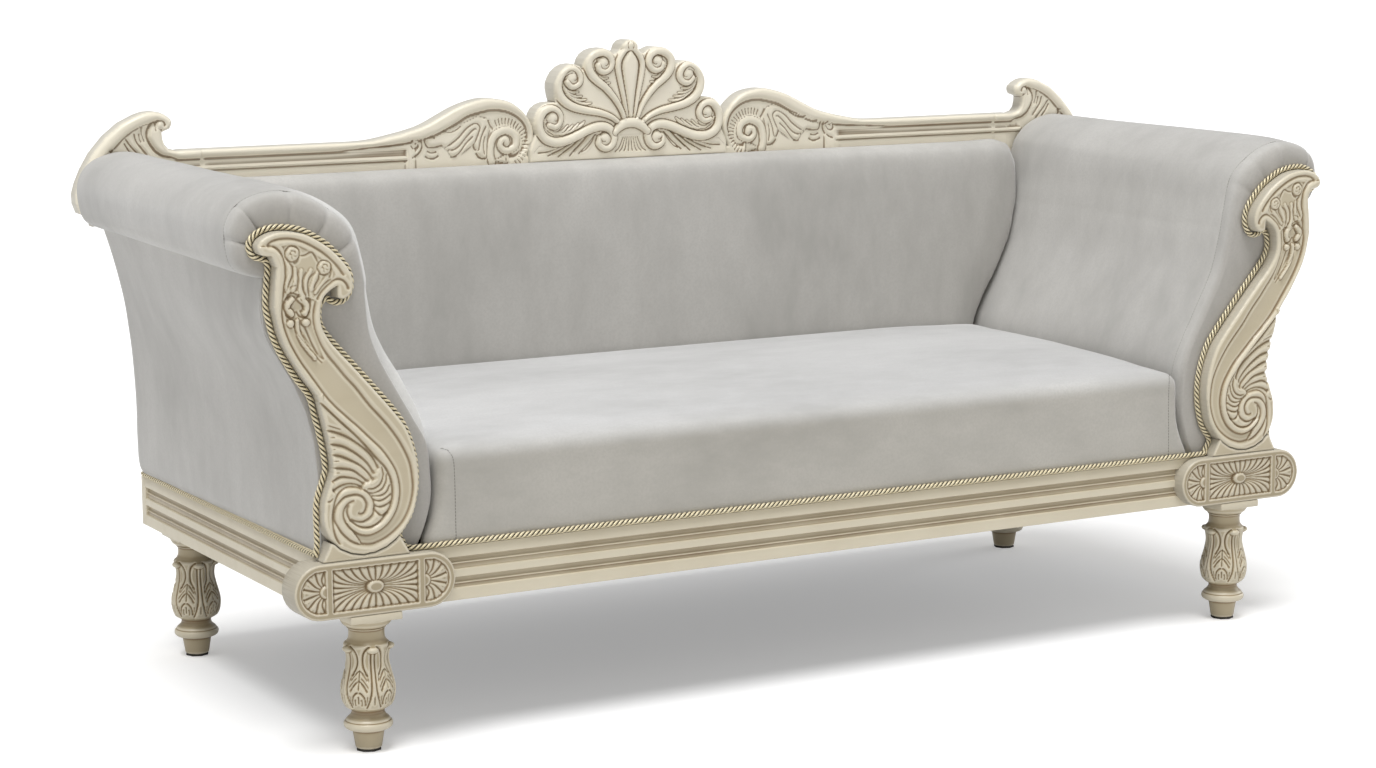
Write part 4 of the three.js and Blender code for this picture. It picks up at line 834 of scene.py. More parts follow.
def arm_front(sign):
    """The gathered front: flat where the facing covers it, it rounds over to the seam, and folds
    are drawn in round the roll."""
    edge, under = arm_edge(sign, 9), flowing(ARM_UNDER, 9)
    way = edge - under
    width = np.hypot(*way.T)
    way /= width[:, None]
    reach = np.minimum(np.interp(edge[:, 1], [304, 700, 800], [8, 8, 26]), width - 14)
    number = np.arange(len(edge)) / 9
    fold = FOLD_DEPTH[sign] * sum(np.exp(-(np.abs(number - at) / 0.11) ** 1.5) * 4.2 + np.exp(
        -(np.abs(number - at) / 0.35) ** 2) for at in GATHERS)
    puff = 2.5 * unit((number - 9) / 1.5)
    rows = []
    for share, turn in [(t, 0) for t in (0, 0.2, 0.4, 0.6, 0.8, 1)] + [(1, a) for a in range(11, 100, 11)]:
        turn = math.radians(min(turn, 90))
        inward = reach * (1 - math.sin(turn)) if share == 1 else reach + (width - reach) * (1 - share)
        pull = fold * (0.25 + 0.75 * math.cos(turn)) * min(share * 3, 1) - puff * math.sin(math.pi * share * 0.6) * (
            math.cos(turn))
        dip = SEAM_DIP * (turn > 1.5)
        place = under + way * (width - inward - pull * math.sin(turn) - dip)[:, None]
        y = ARM_SEAM - EDGE_FALL * math.cos(turn) + pull * math.cos(turn)
        rows.append(np.stack([sign * place[:, 0], y, np.maximum(place[:, 1], COVER_FOOT)], axis=1))
    bm = cover_over(np.array(rows), (0, -1, 0))
    ripple(bm, 0.7, 60, 6.0 + sign, lambda co: float(co.y / MM < ARM_SEAM - 12))
    thickened(bm, 4)
    middle, board = sawn_board(np.vstack([flowing(ARM_UNDER, 3), np.array(ARM_OUTER)]), 8)
    round_edge(board, 3)
    stand_up(middle, board, ARM_PAD_FRONT + 1.5, ARM_FRONT, sign)
    joined = bpy.data.meshes.new("arm_front_middle")
    middle.to_mesh(joined)
    middle.free()
    bm.from_mesh(joined)
    return bm


def back_slope(z):
    """How far back the sloping rear panel stands at a height."""
    return BACK_FOOT[0] + (z - BACK_FOOT[1]) / (BACK_HEAD[1] - BACK_FOOT[1]) * (BACK_HEAD[0] - BACK_FOOT[0])


def arm_outside(sign):
    """The outer panel: from under the roll to the rail, and round the rear corner to the back."""
    rows = []
    for (x, z), (rear_share, wrap) in zip(ARM_OUTER, OUTER_REAR):
        rear_x = 725 + rear_share * 317 + 2
        rear_y = min(402 - wrap * 85 + 10, back_slope(z) - 4)
        line = [(x, ARM_FRONT)]
        line += [(x + (rear_x - x) * t + 3 * math.sin(math.pi * t), ARM_FRONT + (rear_y - 16 - ARM_FRONT) * t)
                 for t in (0.06, 0.14, 0.24, 0.34, 0.44, 0.54, 0.64, 0.74, 0.84, 0.92, 0.97, 1)]
        line += [(rear_x, rear_y - 8), (rear_x - 1, rear_y - 3), (rear_x - 6, rear_y),
                 ((rear_x + 1784) / 3, (rear_y + back_slope(z) * 2) / 3 + 0.5), (BACK_HALF_WIDTH, back_slope(z))]
        top = REAR_LIFT * unit((z - 680) / 48)
        rows.append([(sign * a, b, z + top * min((b - ARM_FRONT) / (ARM_BACK - ARM_FRONT), 1)
                      + top * 0.5 * unit((b - ARM_BACK) / 30)) for a, b in line])
    rows = np.array(rows, dtype=float)
    rows = flowing(rows.reshape(len(rows), -1), 5).reshape(-1, rows.shape[1], 3)
    bm = cover_over(rows, (sign, 0, 0))
    ripple(bm, 1.0, 130, 4.0)
    return thickened(bm, 3.5)


# Arm covers: a lighter band near the top of the inner side, painted light over the shade where the slope turns. Arm
# fronts: the flat front is darker than the rounded edge, painted shade.
ARM_SIDE, ARM_NECK_LIGHT = (0.485, 0.476, 0.457, 1), (0.55, 0.54, 0.517, 1)
velvet_arm = velvet_finish("velvet_arm", (1, 1, 0.45), [(0.6, ARM_SIDE), (0.7, ARM_NECK_LIGHT), (0.745, ARM_NECK_LIGHT),
                                                        (0.8, ARM_SIDE)])
velvet_front = velvet_finish("velvet_front", (1, 1, 0.45), [(-0.376, (0.425, 0.41, 0.385, 1)), (-0.366, GREY)], "Y")
for side, sign in SIDES:
    cover = set_down(f"arm_velvet_{side}", arm_cover(sign), velvet_arm,
                     [f"arm_cover_{side}", f"arm_foam_{side}"], 50)
    front = set_down(f"arm_front_velvet_{side}", arm_front(sign), velvet_front,
                     [f"arm_front_pad_{side}"], 50)
    outside = set_down(f"arm_outer_velvet_{side}", arm_outside(sign), velvet,
                       [f"arm_outer_panel_{side}"], 50)
    seam = [(sign * x, ARM_SEAM, z) for x, z in inset_line(arm_edge(sign, 4)[:-6], -0.9)]
    stitches(f"arm_seam_{side}", seam, 0.6, steps=1)

# Arm facings: carved and painted boards on the arm fronts. Each starts in a hooked head with a
# flower spray, runs down in moulded bands and ends in a volute with a shell-like fan.
BAND_CUT = [
    (914.2, 696.7), (917.5, 685), (919.2, 671.7), (917.5, 656.7), (913.3, 643.3), (906.7, 628.3),
    (896.7, 613.3), (883.3, 596.7), (870, 580), (855, 563.3), (833.3, 535), (816.7, 516.7),
    (800, 496.7), (783.3, 471.7), (770, 443.3), (765.3, 415), (765.8, 395), (771.7, 373.3),
    (781.7, 355), (795, 341.7), (810, 331.7), (825, 325.8), (836.7, 323.7), (851.7, 325.8),
    (866.7, 331.7), (880, 343.3), (889.2, 356.7), (893.7, 368.3), (893.3, 378.3), (888.3, 390),
    (878.3, 399.2), (866.7, 402), (856.7, 401.7), (848.3, 397.5), (843.3, 390), (842.5, 383.3),
    (845.8, 375), (851.7, 372.5), (857.5, 374.7)]
BEAD_OUTSIDE = [
    (990, 780), (980, 779.2), (971.7, 773.3), (965, 763.3), (962, 750), (962, 733.3), (965, 716.7),
    (966.7, 700), (968.3, 686.7), (968.3, 673.3), (965, 656.7), (958.3, 638.3), (950, 621.7),
    (940, 605), (928.3, 588.3), (916.7, 572), (908.3, 560), (895, 543.3), (875, 523.3),
    (853.3, 503.3), (833.3, 483.3), (816.7, 466.7), (803.3, 448.3), (793.3, 430), (788.7, 410),
    (788.7, 393.3), (793.3, 375), (803.3, 358.3), (816.7, 346.7), (830, 340.8), (841.7, 339.2),
    (855, 342.5), (868.3, 351.7), (876.7, 363.3), (879.2, 373.3), (877.2, 382.5), (870.8, 390),
    (861.7, 394.2)]
BEAD_INSIDE = [
    (917.5, 550.8), (900, 533.3), (883.3, 516.7), (866.7, 500.8), (850, 484.2), (836.7, 469.2),
    (823.3, 453.3), (811.7, 440), (803.3, 423.3), (800, 406.7), (800.8, 390), (805, 376.7),
    (813.3, 365), (823.3, 355.8), (835, 350.8), (846.7, 350.8), (856.7, 354.2), (866.7, 361.7),
    (872.5, 371.7), (873.3, 380), (870, 388.3)]
COIL_OUTSIDE = [
    (886, 328), (893, 343), (896, 360), (895.5, 376.7), (892.5, 393.3), (888, 404), (880, 411),
    (870, 414.2), (856.7, 412.5), (843.3, 406.7), (835, 398.3), (830, 386.7), (830.8, 373.3),
    (835, 366.7), (843.3, 361.7), (851.7, 360), (861.7, 362.5), (868.3, 366.7)]
HEAD_CUT = [
    (990, 780), (983.3, 785.8), (973.3, 789.2), (960, 790), (946.7, 788.3), (930, 782.5),
    (913.3, 773.3), (900, 764.2), (888.3, 753.3), (878.3, 742.5), (870, 730)]
HOOK_CUT = [(914.2, 696.7), (908.3, 706.7), (900, 715), (889, 723), (880, 726), (872, 723.5),
            (866, 717), (863.3, 709)]
RIM_EDGE = [(1003.2, 779), (998, 768.5), FACING_HEAD[-1]] + FACING_OUTER[:7] + [(912, 540)]
SPRAY_FIELD = [
    (968, 780), (950, 783), (930, 776), (905, 760), (886, 742), (884, 728), (900, 718), (912, 705), (921, 690),
    (920, 660), (912, 636), (902, 610), (912, 610), (930, 634), (946, 655), (963, 668), (962, 700), (958, 730),
    (960, 755)]
SPRAY_RIDGES = [
    ([(957, 752), (955, 738), (960, 722), (958, 712)], 3.2), ([(947, 745), (946, 730), (950, 716)], 2.8),
    ([(937, 742), (939, 728), (939, 713), (934, 702)], 3.2), ([(922, 742), (929, 728), (930, 712)], 3),
    ([(908, 742), (916, 730), (922, 714)], 3.4), ([(897, 730), (907, 718), (915, 708)], 3),
    ([(952, 700), (960, 690), (953, 679)], 4.2), ([(938, 700), (929, 690), (932, 679)], 4.2),
    ([(944, 668), (943, 650), (934, 632), (918, 612)], 3)]
FAN_CUTS = [
    [(906.7, 502.5), (893.3, 500), (876.7, 493.3), (863.3, 485.5), (846.7, 473.3), (833.3, 460),
     (825, 446.7), (820.8, 436.7)],
    [(908, 484), (895, 480.8), (878.3, 476.7), (863.3, 468.3), (850, 458.3), (836.7, 445), (827.5, 430)],
    [(903, 466), (883.3, 462.5), (866.7, 455), (850, 445), (836.7, 431.7), (829.2, 420)],
    [(899, 445.5), (880, 443.3), (863.3, 439.2), (850, 430), (836.7, 418.3)],
    [(897, 424), (883.3, 430), (871.7, 429.2), (856.7, 425), (843.3, 415.8)],
    [(896, 410), (883.3, 416.7), (870, 419.2), (856.7, 416.7), (846, 411)]]
FAN_TICKS = [[(906, 512), (893, 507), (880, 502)], [(901, 492), (890, 491)], [(900, 471), (889, 473.5)],
             [(896, 455.5), (884, 455)], [(901, 438), (882, 437.5)], [(906, 396), (900, 396), (895, 401)]]
SMALL_LEAF_CUTS = [
    [(816.7, 441), (814, 428), (819, 415), (830, 408.5), (841, 409)],
    [(809, 430), (810, 418), (817, 406.5), (829, 402), (838, 402.5)],
    [(804, 413), (809, 402), (819, 397), (834, 397.5)],
    [(801.7, 398.3), (811.7, 391.7), (821.7, 389.2), (832, 392)],
    [(801.7, 386.7), (811.7, 381.7), (821.7, 380), (830.5, 383)],
    [(807, 371), (818.3, 366.7), (826.7, 373.3), (830.3, 380)]]
SPRAY_CUTS = [
    [(958.3, 755), (950, 748.3), (950.8, 735), (956.7, 723.3), (961.7, 710)],
    [(943.3, 740), (940.8, 728.3), (945, 713.3), (956.7, 706.7), (963.3, 700)],
    [(929.2, 740), (935, 726.7), (933.3, 711.7), (926.7, 700)],
    [(913.3, 738.3), (923.3, 731.7), (927.5, 720), (925.8, 706.7), (923.3, 693.3), (925, 680), (930, 671.7)],
    [(890, 726.7), (903.3, 718.3), (913.3, 706.7), (918.3, 705)],
    [(909, 737), (909.5, 728), (915, 720), (918, 715)],
    [(945, 721.7), (955, 717.5)],
    [(945, 703.3), (958, 704), (965, 693), (960, 676.7), (950, 673.3), (945.5, 683)],
    [(960, 686), (953, 690), (949, 699)],
    [(941.7, 705), (936, 694), (933.3, 683.3), (940, 682)],
    [(945, 683), (941, 676), (936.7, 673.3), (929, 673.5), (924.5, 682)],
    [(948.3, 670), (946.7, 653.3), (936.7, 638.3), (921.7, 620), (905.8, 602.5)],
    [(943.3, 670), (940.5, 658), (936.7, 648.3)],
    [(936.7, 668), (930, 653.3), (921.7, 633.3), (912.5, 615.8)],
    [(940, 763.3), (930, 764.2), (920, 768.3), (915, 761.7), (910, 751.7)],
    [(940, 763.3), (942, 756), (949, 752.5)],
    [(891, 752), (889.5, 740), (893, 728)]]
FAN_FIELD = [(905.7, 431), (897, 424), (896, 410), (896, 394), (898, 372), (895, 345), (888, 330), (903, 340),
             (910, 358), (911, 379), (908, 399)]
FLOWERS = [(950.3, 767, 11), (900.8, 744.2, 10.5)]
FACING_FRONT, FACING_BACK = -408, -377.3


def raise_bead(board, points, height, foot, gutter=0.0):
    """A rounded ridge on a foot level. Each point gives x, z and the ridge's half width. A gutter is
    cut along both its sides."""
    line = flowing(points)
    which, off, along = near(board, line, line[:, 2].max() + 3)
    steps = distances(line[:, :2])
    half = np.interp(along, steps / steps[-1], line[:, 2])
    top = foot + height * arched(off / half)
    inside = off < half
    board["h"][which[inside]] = np.maximum(board["h"][which[inside]], top[inside])
    board["h"][which] -= gutter * unit(1 - np.abs(off - half) / 2.3)


def swell_band(board, one_side, other_side, height):
    """Rounds the strip between two lines up by a height, or hollows it where height is negative."""
    one, other = flowing(one_side), flowing(other_side)
    strip = depth_inside(board, np.vstack([one, other[::-1]])) > 0
    where = {"x": board["x"][strip], "z": board["z"][strip]}
    from_one, from_other = (near(where, line, 1e3)[1] for line in (one, other))
    share = from_one / np.maximum(from_one + from_other, 1e-6)
    board["h"][strip] += height * arched(2 * share - 1)


def raise_dome(board, x, z, radius, height, foot):
    """A round button on a foot level."""
    off = np.hypot(board["x"] - x, board["z"] - z)
    set_level(board, off < radius, np.maximum(board["h"], foot + height * arched(off / radius)))


def cut_lines(board, lines, width, depth, fade):
    for line in lines:
        cut_line(board, line, width, depth, fade)


def carve_facing(board):
    """The bands, the coil with its fan, and the spray of two flowers in the hooked head."""
    x, z = board["x"], board["z"]
    swell_band(board, BAND_CUT[:24], BEAD_OUTSIDE[6:33], -4.2)
    swell_band(board, BEAD_OUTSIDE[:17], RIM_EDGE, 2.6)
    swell_band(board, BEAD_OUTSIDE[16:34], BEAD_INSIDE[:18], 2.2)
    cut_line(board, BAND_CUT, 6.5, 4.2, 0.02)
    cut_line(board, BEAD_OUTSIDE, 6.5, 4.0, 0.02)
    cut_line(board, BEAD_INSIDE, 6, 4.4, 0.03)
    cut_line(board, COIL_OUTSIDE, 6.5, 4.4, 0.03)
    cut_line(board, HEAD_CUT, 6.5, 3.8, 0.04)
    cut_line(board, HOOK_CUT, 6, 3.8, 0.05)
    cut_lines(board, FAN_CUTS, 10, 6.5, 0.05)
    cut_lines(board, FAN_TICKS, 3.4, 2.6, 0.3)
    cut_lines(board, SMALL_LEAF_CUTS, 5, 4, 0.1)
    board["h"] -= 1.8 * unit(depth_inside(board, flowing(SPRAY_FIELD, 3)) / 3)
    for line, half in SPRAY_RIDGES:
        raise_bead(board, [(a, b, half) for a, b in line], 2.4, -2.4)
    cut_lines(board, SPRAY_CUTS, 3.2, 2.4, 0.2)
    board["h"] -= 1.4 * unit(depth_inside(board, FAN_FIELD) / 8)
    for cx, cz, radius in FLOWERS:
        ring = np.hypot(x - cx, z - cz)
        turn = np.arctan2(z - cz, x - cx)
        petals = 0.45 * np.cos(5 * turn + ring * 0.6) * (ring > 3.5)
        set_level(board, ring < radius, -0.9 + 2.2 * arched(ring / radius) + petals)
        board["h"] -= 2.2 * unit(1 - np.abs(ring - radius) / 2.2)
        cut_line(board, [(cx - 5, cz + 1), (cx - 1, cz + 5), (cx + 4, cz + 2), (cx + 1, cz - 2)], 2, 2, 0.2)
    for cx, cz in ((955, 665), (930.8, 665)):
        raise_dome(board, cx, cz, 5.6, 2.6, -2.2)
    round_edge(board, 5)


def painted_board(name, outline, grain, carve, front, back, sign, material, node):
    """A board sawn to an outline, carved, stood up between two depths and painted."""
    bm, board = sawn_board(outline, grain)
    carve(board)
    stand_up(bm, board, front, back, sign)
    painted_piece(name, bm, material, node)


for side, sign in SIDES:
    painted_board(f"carved_facing_{side}", facing_outline, 1.5, carve_facing, FACING_FRONT, FACING_BACK, sign,
                  painted_facing, f"arm_facing_{side}")

# Plinths: low painted blocks under the facings. Their ends slope, and the volute sits in a hollow
# in the top.
PLINTH = [(772.4, 303.6), (915, 303.6), (912.5, 308), (905, 322), (901, 332), (895, 330), (886, 321.5),
          (867.4, 312.5), (848.6, 308.9), (828.8, 310.7), (810.2, 316.8), (795.4, 326.2), (789, 333.4), (784, 325),
          (774.5, 308)]


def carve_plinth(board):
    board["h"] -= 1.5
    round_edge(board, 1.6)


for side, sign in SIDES:
    painted_board(f"plinth_{side}", PLINTH, 1.6, carve_plinth, FACING_FRONT, FACING_BACK, sign,
                  painted_facing, f"facing_plinth_{side}")

# Back: a tall padded panel in velvet between the arms, with a rounded top edge, and a plain
# velvet panel behind it that slopes from the crest rail down to the back rail.
BACK_HALF = [(0, 306), (240, 306), (480, 306), (750, 306), (745, 333), (741, 379), (740, 421), (745, 463),
             (762, 504), (792, 558), (824, 624), (838, 688), (842, 737), (843, 776), (830, 810), (795, 822),
             (500, 823), (250, 823)]
BACK_PAD_FRONT, BACK_PAD_REAR = 268, 317


def back_hold(place):
    """Free in the middle, held at the foot and where it meets the arms."""
    x, _, z = (place / MM).T
    return unit((z - 315) / 60) * np.clip((830 - np.abs(x)) / 60, 0.2, 1)


def both_halves(half):
    """A whole outline from its right half. A point on the middle line isn't doubled."""
    half = np.array(half, dtype=float)
    return np.vstack([half, (half[half[:, 0] != 0] * (-1, 1))[::-1]])


bm, board = sawn_board(both_halves(BACK_HALF), 12)
board["h"] = 6 * unit(board["off"] / 150) ** 0.5
round_edge(board, np.interp(board["z"], [700, 790], [9, 24]))
stand_up(bm, board, BACK_PAD_FRONT, BACK_PAD_REAR)
puffed("back_velvet", bm, velvet, ["back_cover", "back_foam"], CLOTH_GRAIN, 5, back_hold)

rows = []
for up in np.linspace(0, 1, 25):
    z = 303.3 + 522.7 * up
    rows.append([(-892 + 1784 * t, back_slope(z) + 3.5 * (math.sin(math.pi * t) * math.sin(math.pi * up)) ** 0.5, z)
                 for t in np.linspace(0, 1, 71)])
bm = cover_over(np.array(rows), (0, 1, 0))
ripple(bm, 0.72, 160, 9.0)
outer_back = set_down("outer_back_velvet", thickened(bm, 4), velvet, ["outer_back_panel"], 50)

# Crest rail: a moulded top rail with a swell on each side of the middle, each carved with a
# volute, a sunburst round it and a leaf. Shell and horns are separate carvings fixed to it.
SWELL = [(204.1, 829.1), (192.9, 853.9), (192.9, 879), (206.7, 902.9), (219.9, 914.9), (234.3, 924),
         (253.9, 930), (284.1, 933), (313.8, 928), (344, 918), (374.2, 903.5), (402.8, 890), (431.9, 881.5),
         (462.2, 875), (498.2, 868.5), (530, 866), (580, 866)]
RIM_CUT = [(840, 851), (700, 851), (600, 851), (560, 852), (510, 855), (460, 858), (420, 863), (400, 867.5),
           (380, 874), (360, 883), (340, 893), (320, 903.7), (295, 910), (272.5, 913), (250, 911),
           (232.5, 905), (217.5, 895), (207.5, 882.5), (203, 865), (206, 850), (215, 837.5), (227.5, 828.7),
           (242.5, 828)]
VOLUTE_CUT = [(281, 827.5), (282.5, 845), (277.5, 865), (265, 877.5), (247.5, 882.5), (230, 877.5), (219, 862.5),
              (219, 847.5), (227.5, 837.5), (240, 834)]
VOLUTE = [(274, 820, 7), (277, 835, 7), (274.5, 855, 7), (266, 868.5, 7), (248, 875.5, 7), (233, 871, 7),
          (225.5, 860, 7), (227, 847, 6.6), (237, 840.5, 6), (249, 840, 5.8), (257, 848, 5.4), (254.5, 857.5, 5.4),
          (246, 859, 6), (244, 853, 6)]
LEAF_CUTS = [
    [(402, 869), (403, 860), (398, 852), (386, 850.5), (374, 853), (368, 853.5)],
    [(395, 870), (388, 868), (384, 866)],
    [(370, 879), (358, 876), (345, 879), (332, 887)],
    [(368, 853), (360, 852), (340, 865), (325, 880), (312, 888), (303, 889), (297, 883), (299, 874),
     (305, 861), (309, 853)],
    [(360, 846), (350, 845), (337, 852), (322, 868), (311, 878), (305, 880), (303, 877)],
    [(355, 832), (345, 834), (335, 842), (325, 855), (316, 863), (310, 868)],
    [(309, 855), (308, 846), (302, 842), (299, 846), (296, 860), (290, 875), (284, 886)],
    [(305, 838), (300, 830), (293, 827), (285, 828)],
    [(288, 832), (290, 850), (287, 868)],
    [(404, 836), (396, 832), (386, 831), (376, 836)],
    [(400, 845), (390, 841), (380, 843)],
    [(280, 895), (276, 885), (270, 878)],
    [(432, 857), (426, 850), (418, 852), (414, 860), (420, 866)],
    [(411, 868), (408, 855), (412, 845), (420, 838), (430, 834)]]
LEAF_OUTLINE = [(403, 866), (398, 851), (372, 853), (360, 845), (352, 832), (340, 833), (322, 845), (310, 853),
                (305, 838), (290, 826), (284, 830), (283, 860), (276, 884), (284, 897), (300, 902), (330, 890),
                (370, 878)]
CREST_FRONT, CREST_BACK, CREST_FOOT = 318, 356, 745
HORN_JOINT = 815


def rail_panel(board, share):
    """The sunk panel of the straight rail, with a cove and a bead, as far as the share reaches."""
    z = board["z"]
    board["h"] -= share * (3.2 * unit((851.5 - z) / 3) + 1.6 * unit(1 - np.abs(z - 843) / 6.5))
    top = -3.4 + 3 * arched((z - 834) / 3.4)
    set_level(board, (np.abs(z - 834) < 3.4) & (share > 0), np.maximum(board["h"], top - 3 * (1 - share)))
    board["h"] -= share * 3 * unit(1 - np.abs(z - 829.3) / 2.6)


def carve_crest(board):
    """Both halves of the rail alike, but for a small shift in the right one's carving. The ends
    that meet the horns aren't rounded."""
    side_x = board["x"]
    x, z = np.abs(side_x), board["z"]
    board["x"] = x
    swell_band(board, [(815, 852)] + RIM_CUT[1:20], [(815, 866)] + SWELL[::-1][:-1] + [(200, 850)], 3.2)
    cut_line(board, RIM_CUT, 8, 4.6, 0.005)
    inner = depth_inside(board, [*flowing(RIM_CUT), (242, 800), (425, 800), (425, 868)])
    board["h"] -= 3.2 * unit(inner / 3) * (x < 430)
    x = board["x"] = x - (side_x > 0) * np.interp(x, [195, 205, 300, 450, 500], [0, 4, 11, 11, 0])
    rail_panel(board, unit((x - 436) / 6))
    raise_bead(board, [(446, 834, 3.2), (438, 834.5, 3), (428, 838, 2.6), (416, 846, 2.4), (413, 856, 2.4),
                       (420, 863, 2.2), (427, 859, 1.6)], 2.8, -3.4)
    disc = np.hypot(x - 248.5, z - 851)
    inside_eye = depth_inside(board, [*flowing(VOLUTE_CUT), (281, 815), (240, 815)])
    set_level(board, (disc > 33) & (disc < 48) & (inner > 0), np.minimum(board["h"], -3.6))
    set_level(board, inside_eye > 0, -5)
    raise_bead(board, VOLUTE, 5, -4.6)
    for turn in np.radians(np.arange(-58, 122, 9)):
        line = [(248.5 - r * math.cos(turn), 851 + r * math.sin(turn)) for r in (34.5, 39, 47)]
        cut_line(board, line, 3.4, 3, 0.1)
    cut_lines(board, LEAF_CUTS, 4.6, 3.4, 0.1)
    board["h"] += 3 * unit(depth_inside(board, LEAF_OUTLINE) / 5) ** 0.6
    beyond = crest_outline * np.where(np.abs(crest_outline[:, :1]) > HORN_JOINT - 1, (1.1, 1), (1, 1))
    board["off"] = np.maximum(off_outline(np.abs(side_x), z, beyond)[0], 0)
    round_edge(board, 6)
    board["x"] = side_x + np.interp(side_x, [150, 205, 300], [0, 7, 0])


crest_outline = both_halves([*flowing(SWELL, 3)[:-1], (HORN_JOINT, 866), (HORN_JOINT, CREST_FOOT)])
bm, board = sawn_board(crest_outline, 2.3, ([0, 0.07, 0.93, 1], [-HORN_JOINT, -445, 445, HORN_JOINT]))
carve_crest(board)
stand_up(bm, board, CREST_FRONT, CREST_BACK, rear_round=8)
painted_piece("carved_crest_rail", bm, painted_crest_lit, "crest_rail")

# Shell: a pierced-looking palmette of scrolled arms round a bud, carved from thicker wood and set
# into the middle of the crest rail.
SHELL_HALF = [
    (0, 1030), (9, 1028), (15.6, 1022), (19.5, 1012), (25, 1006.5), (31.2, 1004.9), (36.1, 1010), (52.1, 1016),
    (66, 1015), (76, 1012.1), (85, 1006), (92, 997.1), (95.3, 987), (95.5, 979), (100, 984.9), (113.1, 989.1),
    (125, 988), (134, 984), (144, 976), (150, 967), (155, 956), (155.5, 945), (153, 932), (150, 922), (158, 921.9),
    (168, 921), (177.1, 918), (186, 911), (190.9, 903), (194.5, 893), (195, 884), (194, 874), (191.1, 866),
    (200, 848), (203.5, 840), (203.5, 801)]
ARMS = [
    [(12, 886, 4), (20, 905, 4.6), (32, 924, 5.4), (50, 944, 6.2), (68, 958, 7), (80, 970, 7.5), (85.5, 985, 7.8),
     (82, 999, 8), (69.5, 1007, 7.8), (55, 1007.5, 7.3), (42.5, 1001, 6.6), (38, 989, 6), (43, 978, 5.6),
     (53, 973.5, 5.4), (63, 977, 5.4), (66, 985, 5.4)],
    [(24, 881, 4), (40, 892, 4.8), (62, 900, 5.6), (90, 905.5, 6.4), (115, 912, 7), (133, 922, 7.6),
     (145, 937, 8), (147.5, 955, 8), (141, 970, 7.8), (128, 978.5, 7.4), (113.5, 978, 6.8), (103.5, 969, 6.2),
     (103, 957.5, 5.8), (111, 950, 5.4), (121.5, 949.5, 5.4), (129, 957, 5.4)],
    [(63, 855, 5), (66, 845, 5.4), (58, 837.5, 5.8), (47, 836.5, 6.2), (38, 844, 6.6), (35, 857, 7), (41, 868.5, 7.4),
     (54, 875, 7.6), (70, 875, 7.8), (90, 869, 7.8), (111, 860, 7.8), (133, 852.5, 7.8), (155, 851, 7.8),
     (173.5, 858, 7.8), (184, 872, 7.8), (185.5, 890, 7.8), (178, 904.5, 7.4), (164, 910.5, 6.8),
     (150, 906.5, 6.2), (143, 896, 5.8), (145, 885, 5.4), (154, 878.5, 5.4), (165, 881, 5.4)]]
EYES = [(55, 988, 11.5), (119, 964, 11.5), (158.5, 893.5, 11.5), (53, 852.5, 11)]
EYE_COMMAS = [[(69, 992), (65, 999), (56, 1001.5), (48, 997), (46, 989), (50, 984.5), (54, 986)],
              [(134, 963), (131, 972), (122, 977.5), (113, 974), (109.5, 966), (112, 960), (117.5, 960.5)],
              [(173, 893), (170, 902), (161, 906), (152.5, 902.5), (149, 894.5), (152, 889), (157.5, 890)],
              [(44, 860), (49, 865), (57, 864.5), (63, 859), (62, 851), (57, 848), (53, 850)]]
CRESCENTS = [
    [(74, 975), (66, 965), (56, 961), (46, 962)], [(70, 966), (60, 956), (51, 952), (42, 953)],
    [(62, 956), (54, 948), (46, 943), (38, 943)], [(52, 946), (45, 939), (39, 934), (34, 933)],
    [(138, 957), (133, 946), (121, 939), (106, 939)], [(136, 947), (127, 937), (114, 931), (99, 931)],
    [(130, 936), (118, 928), (105, 924), (90, 925)], [(118, 926), (106, 920), (94, 917), (80, 918)],
    [(176, 885), (166, 874), (152, 872), (139, 880)], [(166, 872), (152, 866), (138, 870), (128, 880)],
    [(150, 865), (136, 866), (126, 872), (117, 880)], [(132, 866), (121, 870), (112, 876), (106, 883)],
    [(114, 872), (106, 876), (99, 881), (94, 886)]]
FEATHER_CUTS = [
    [(66, 864), (76, 856), (86, 845), (100, 833)], [(78, 866), (90, 858), (103, 845), (118, 831)],
    [(92, 862), (106, 852), (122, 840), (140, 829)], [(108, 855), (126, 844), (146, 834), (162, 829)],
    [(128, 847), (148, 839), (168, 834), (182, 833)], [(70, 862), (77, 850), (90, 836), (97, 832)],
    [(84, 862), (97, 848), (110, 837)], [(100, 856), (115, 844), (130, 835)], [(118, 849), (136, 839), (152, 833)]]
SKIRT = [(0, 860), (30, 860), (60, 866), (110, 862), (140, 850), (186, 846), (203, 828), (203, 800), (0, 800)]
BUD = [(0, 1012), (5, 1007), (11, 999), (15.5, 990), (16, 978), (13.5, 960), (10, 938), (6.5, 914), (4, 890),
       (0, 886), (-30, 886), (-30, 1012)]
SHELL_FRONT, PAD_TOP = 302, 817


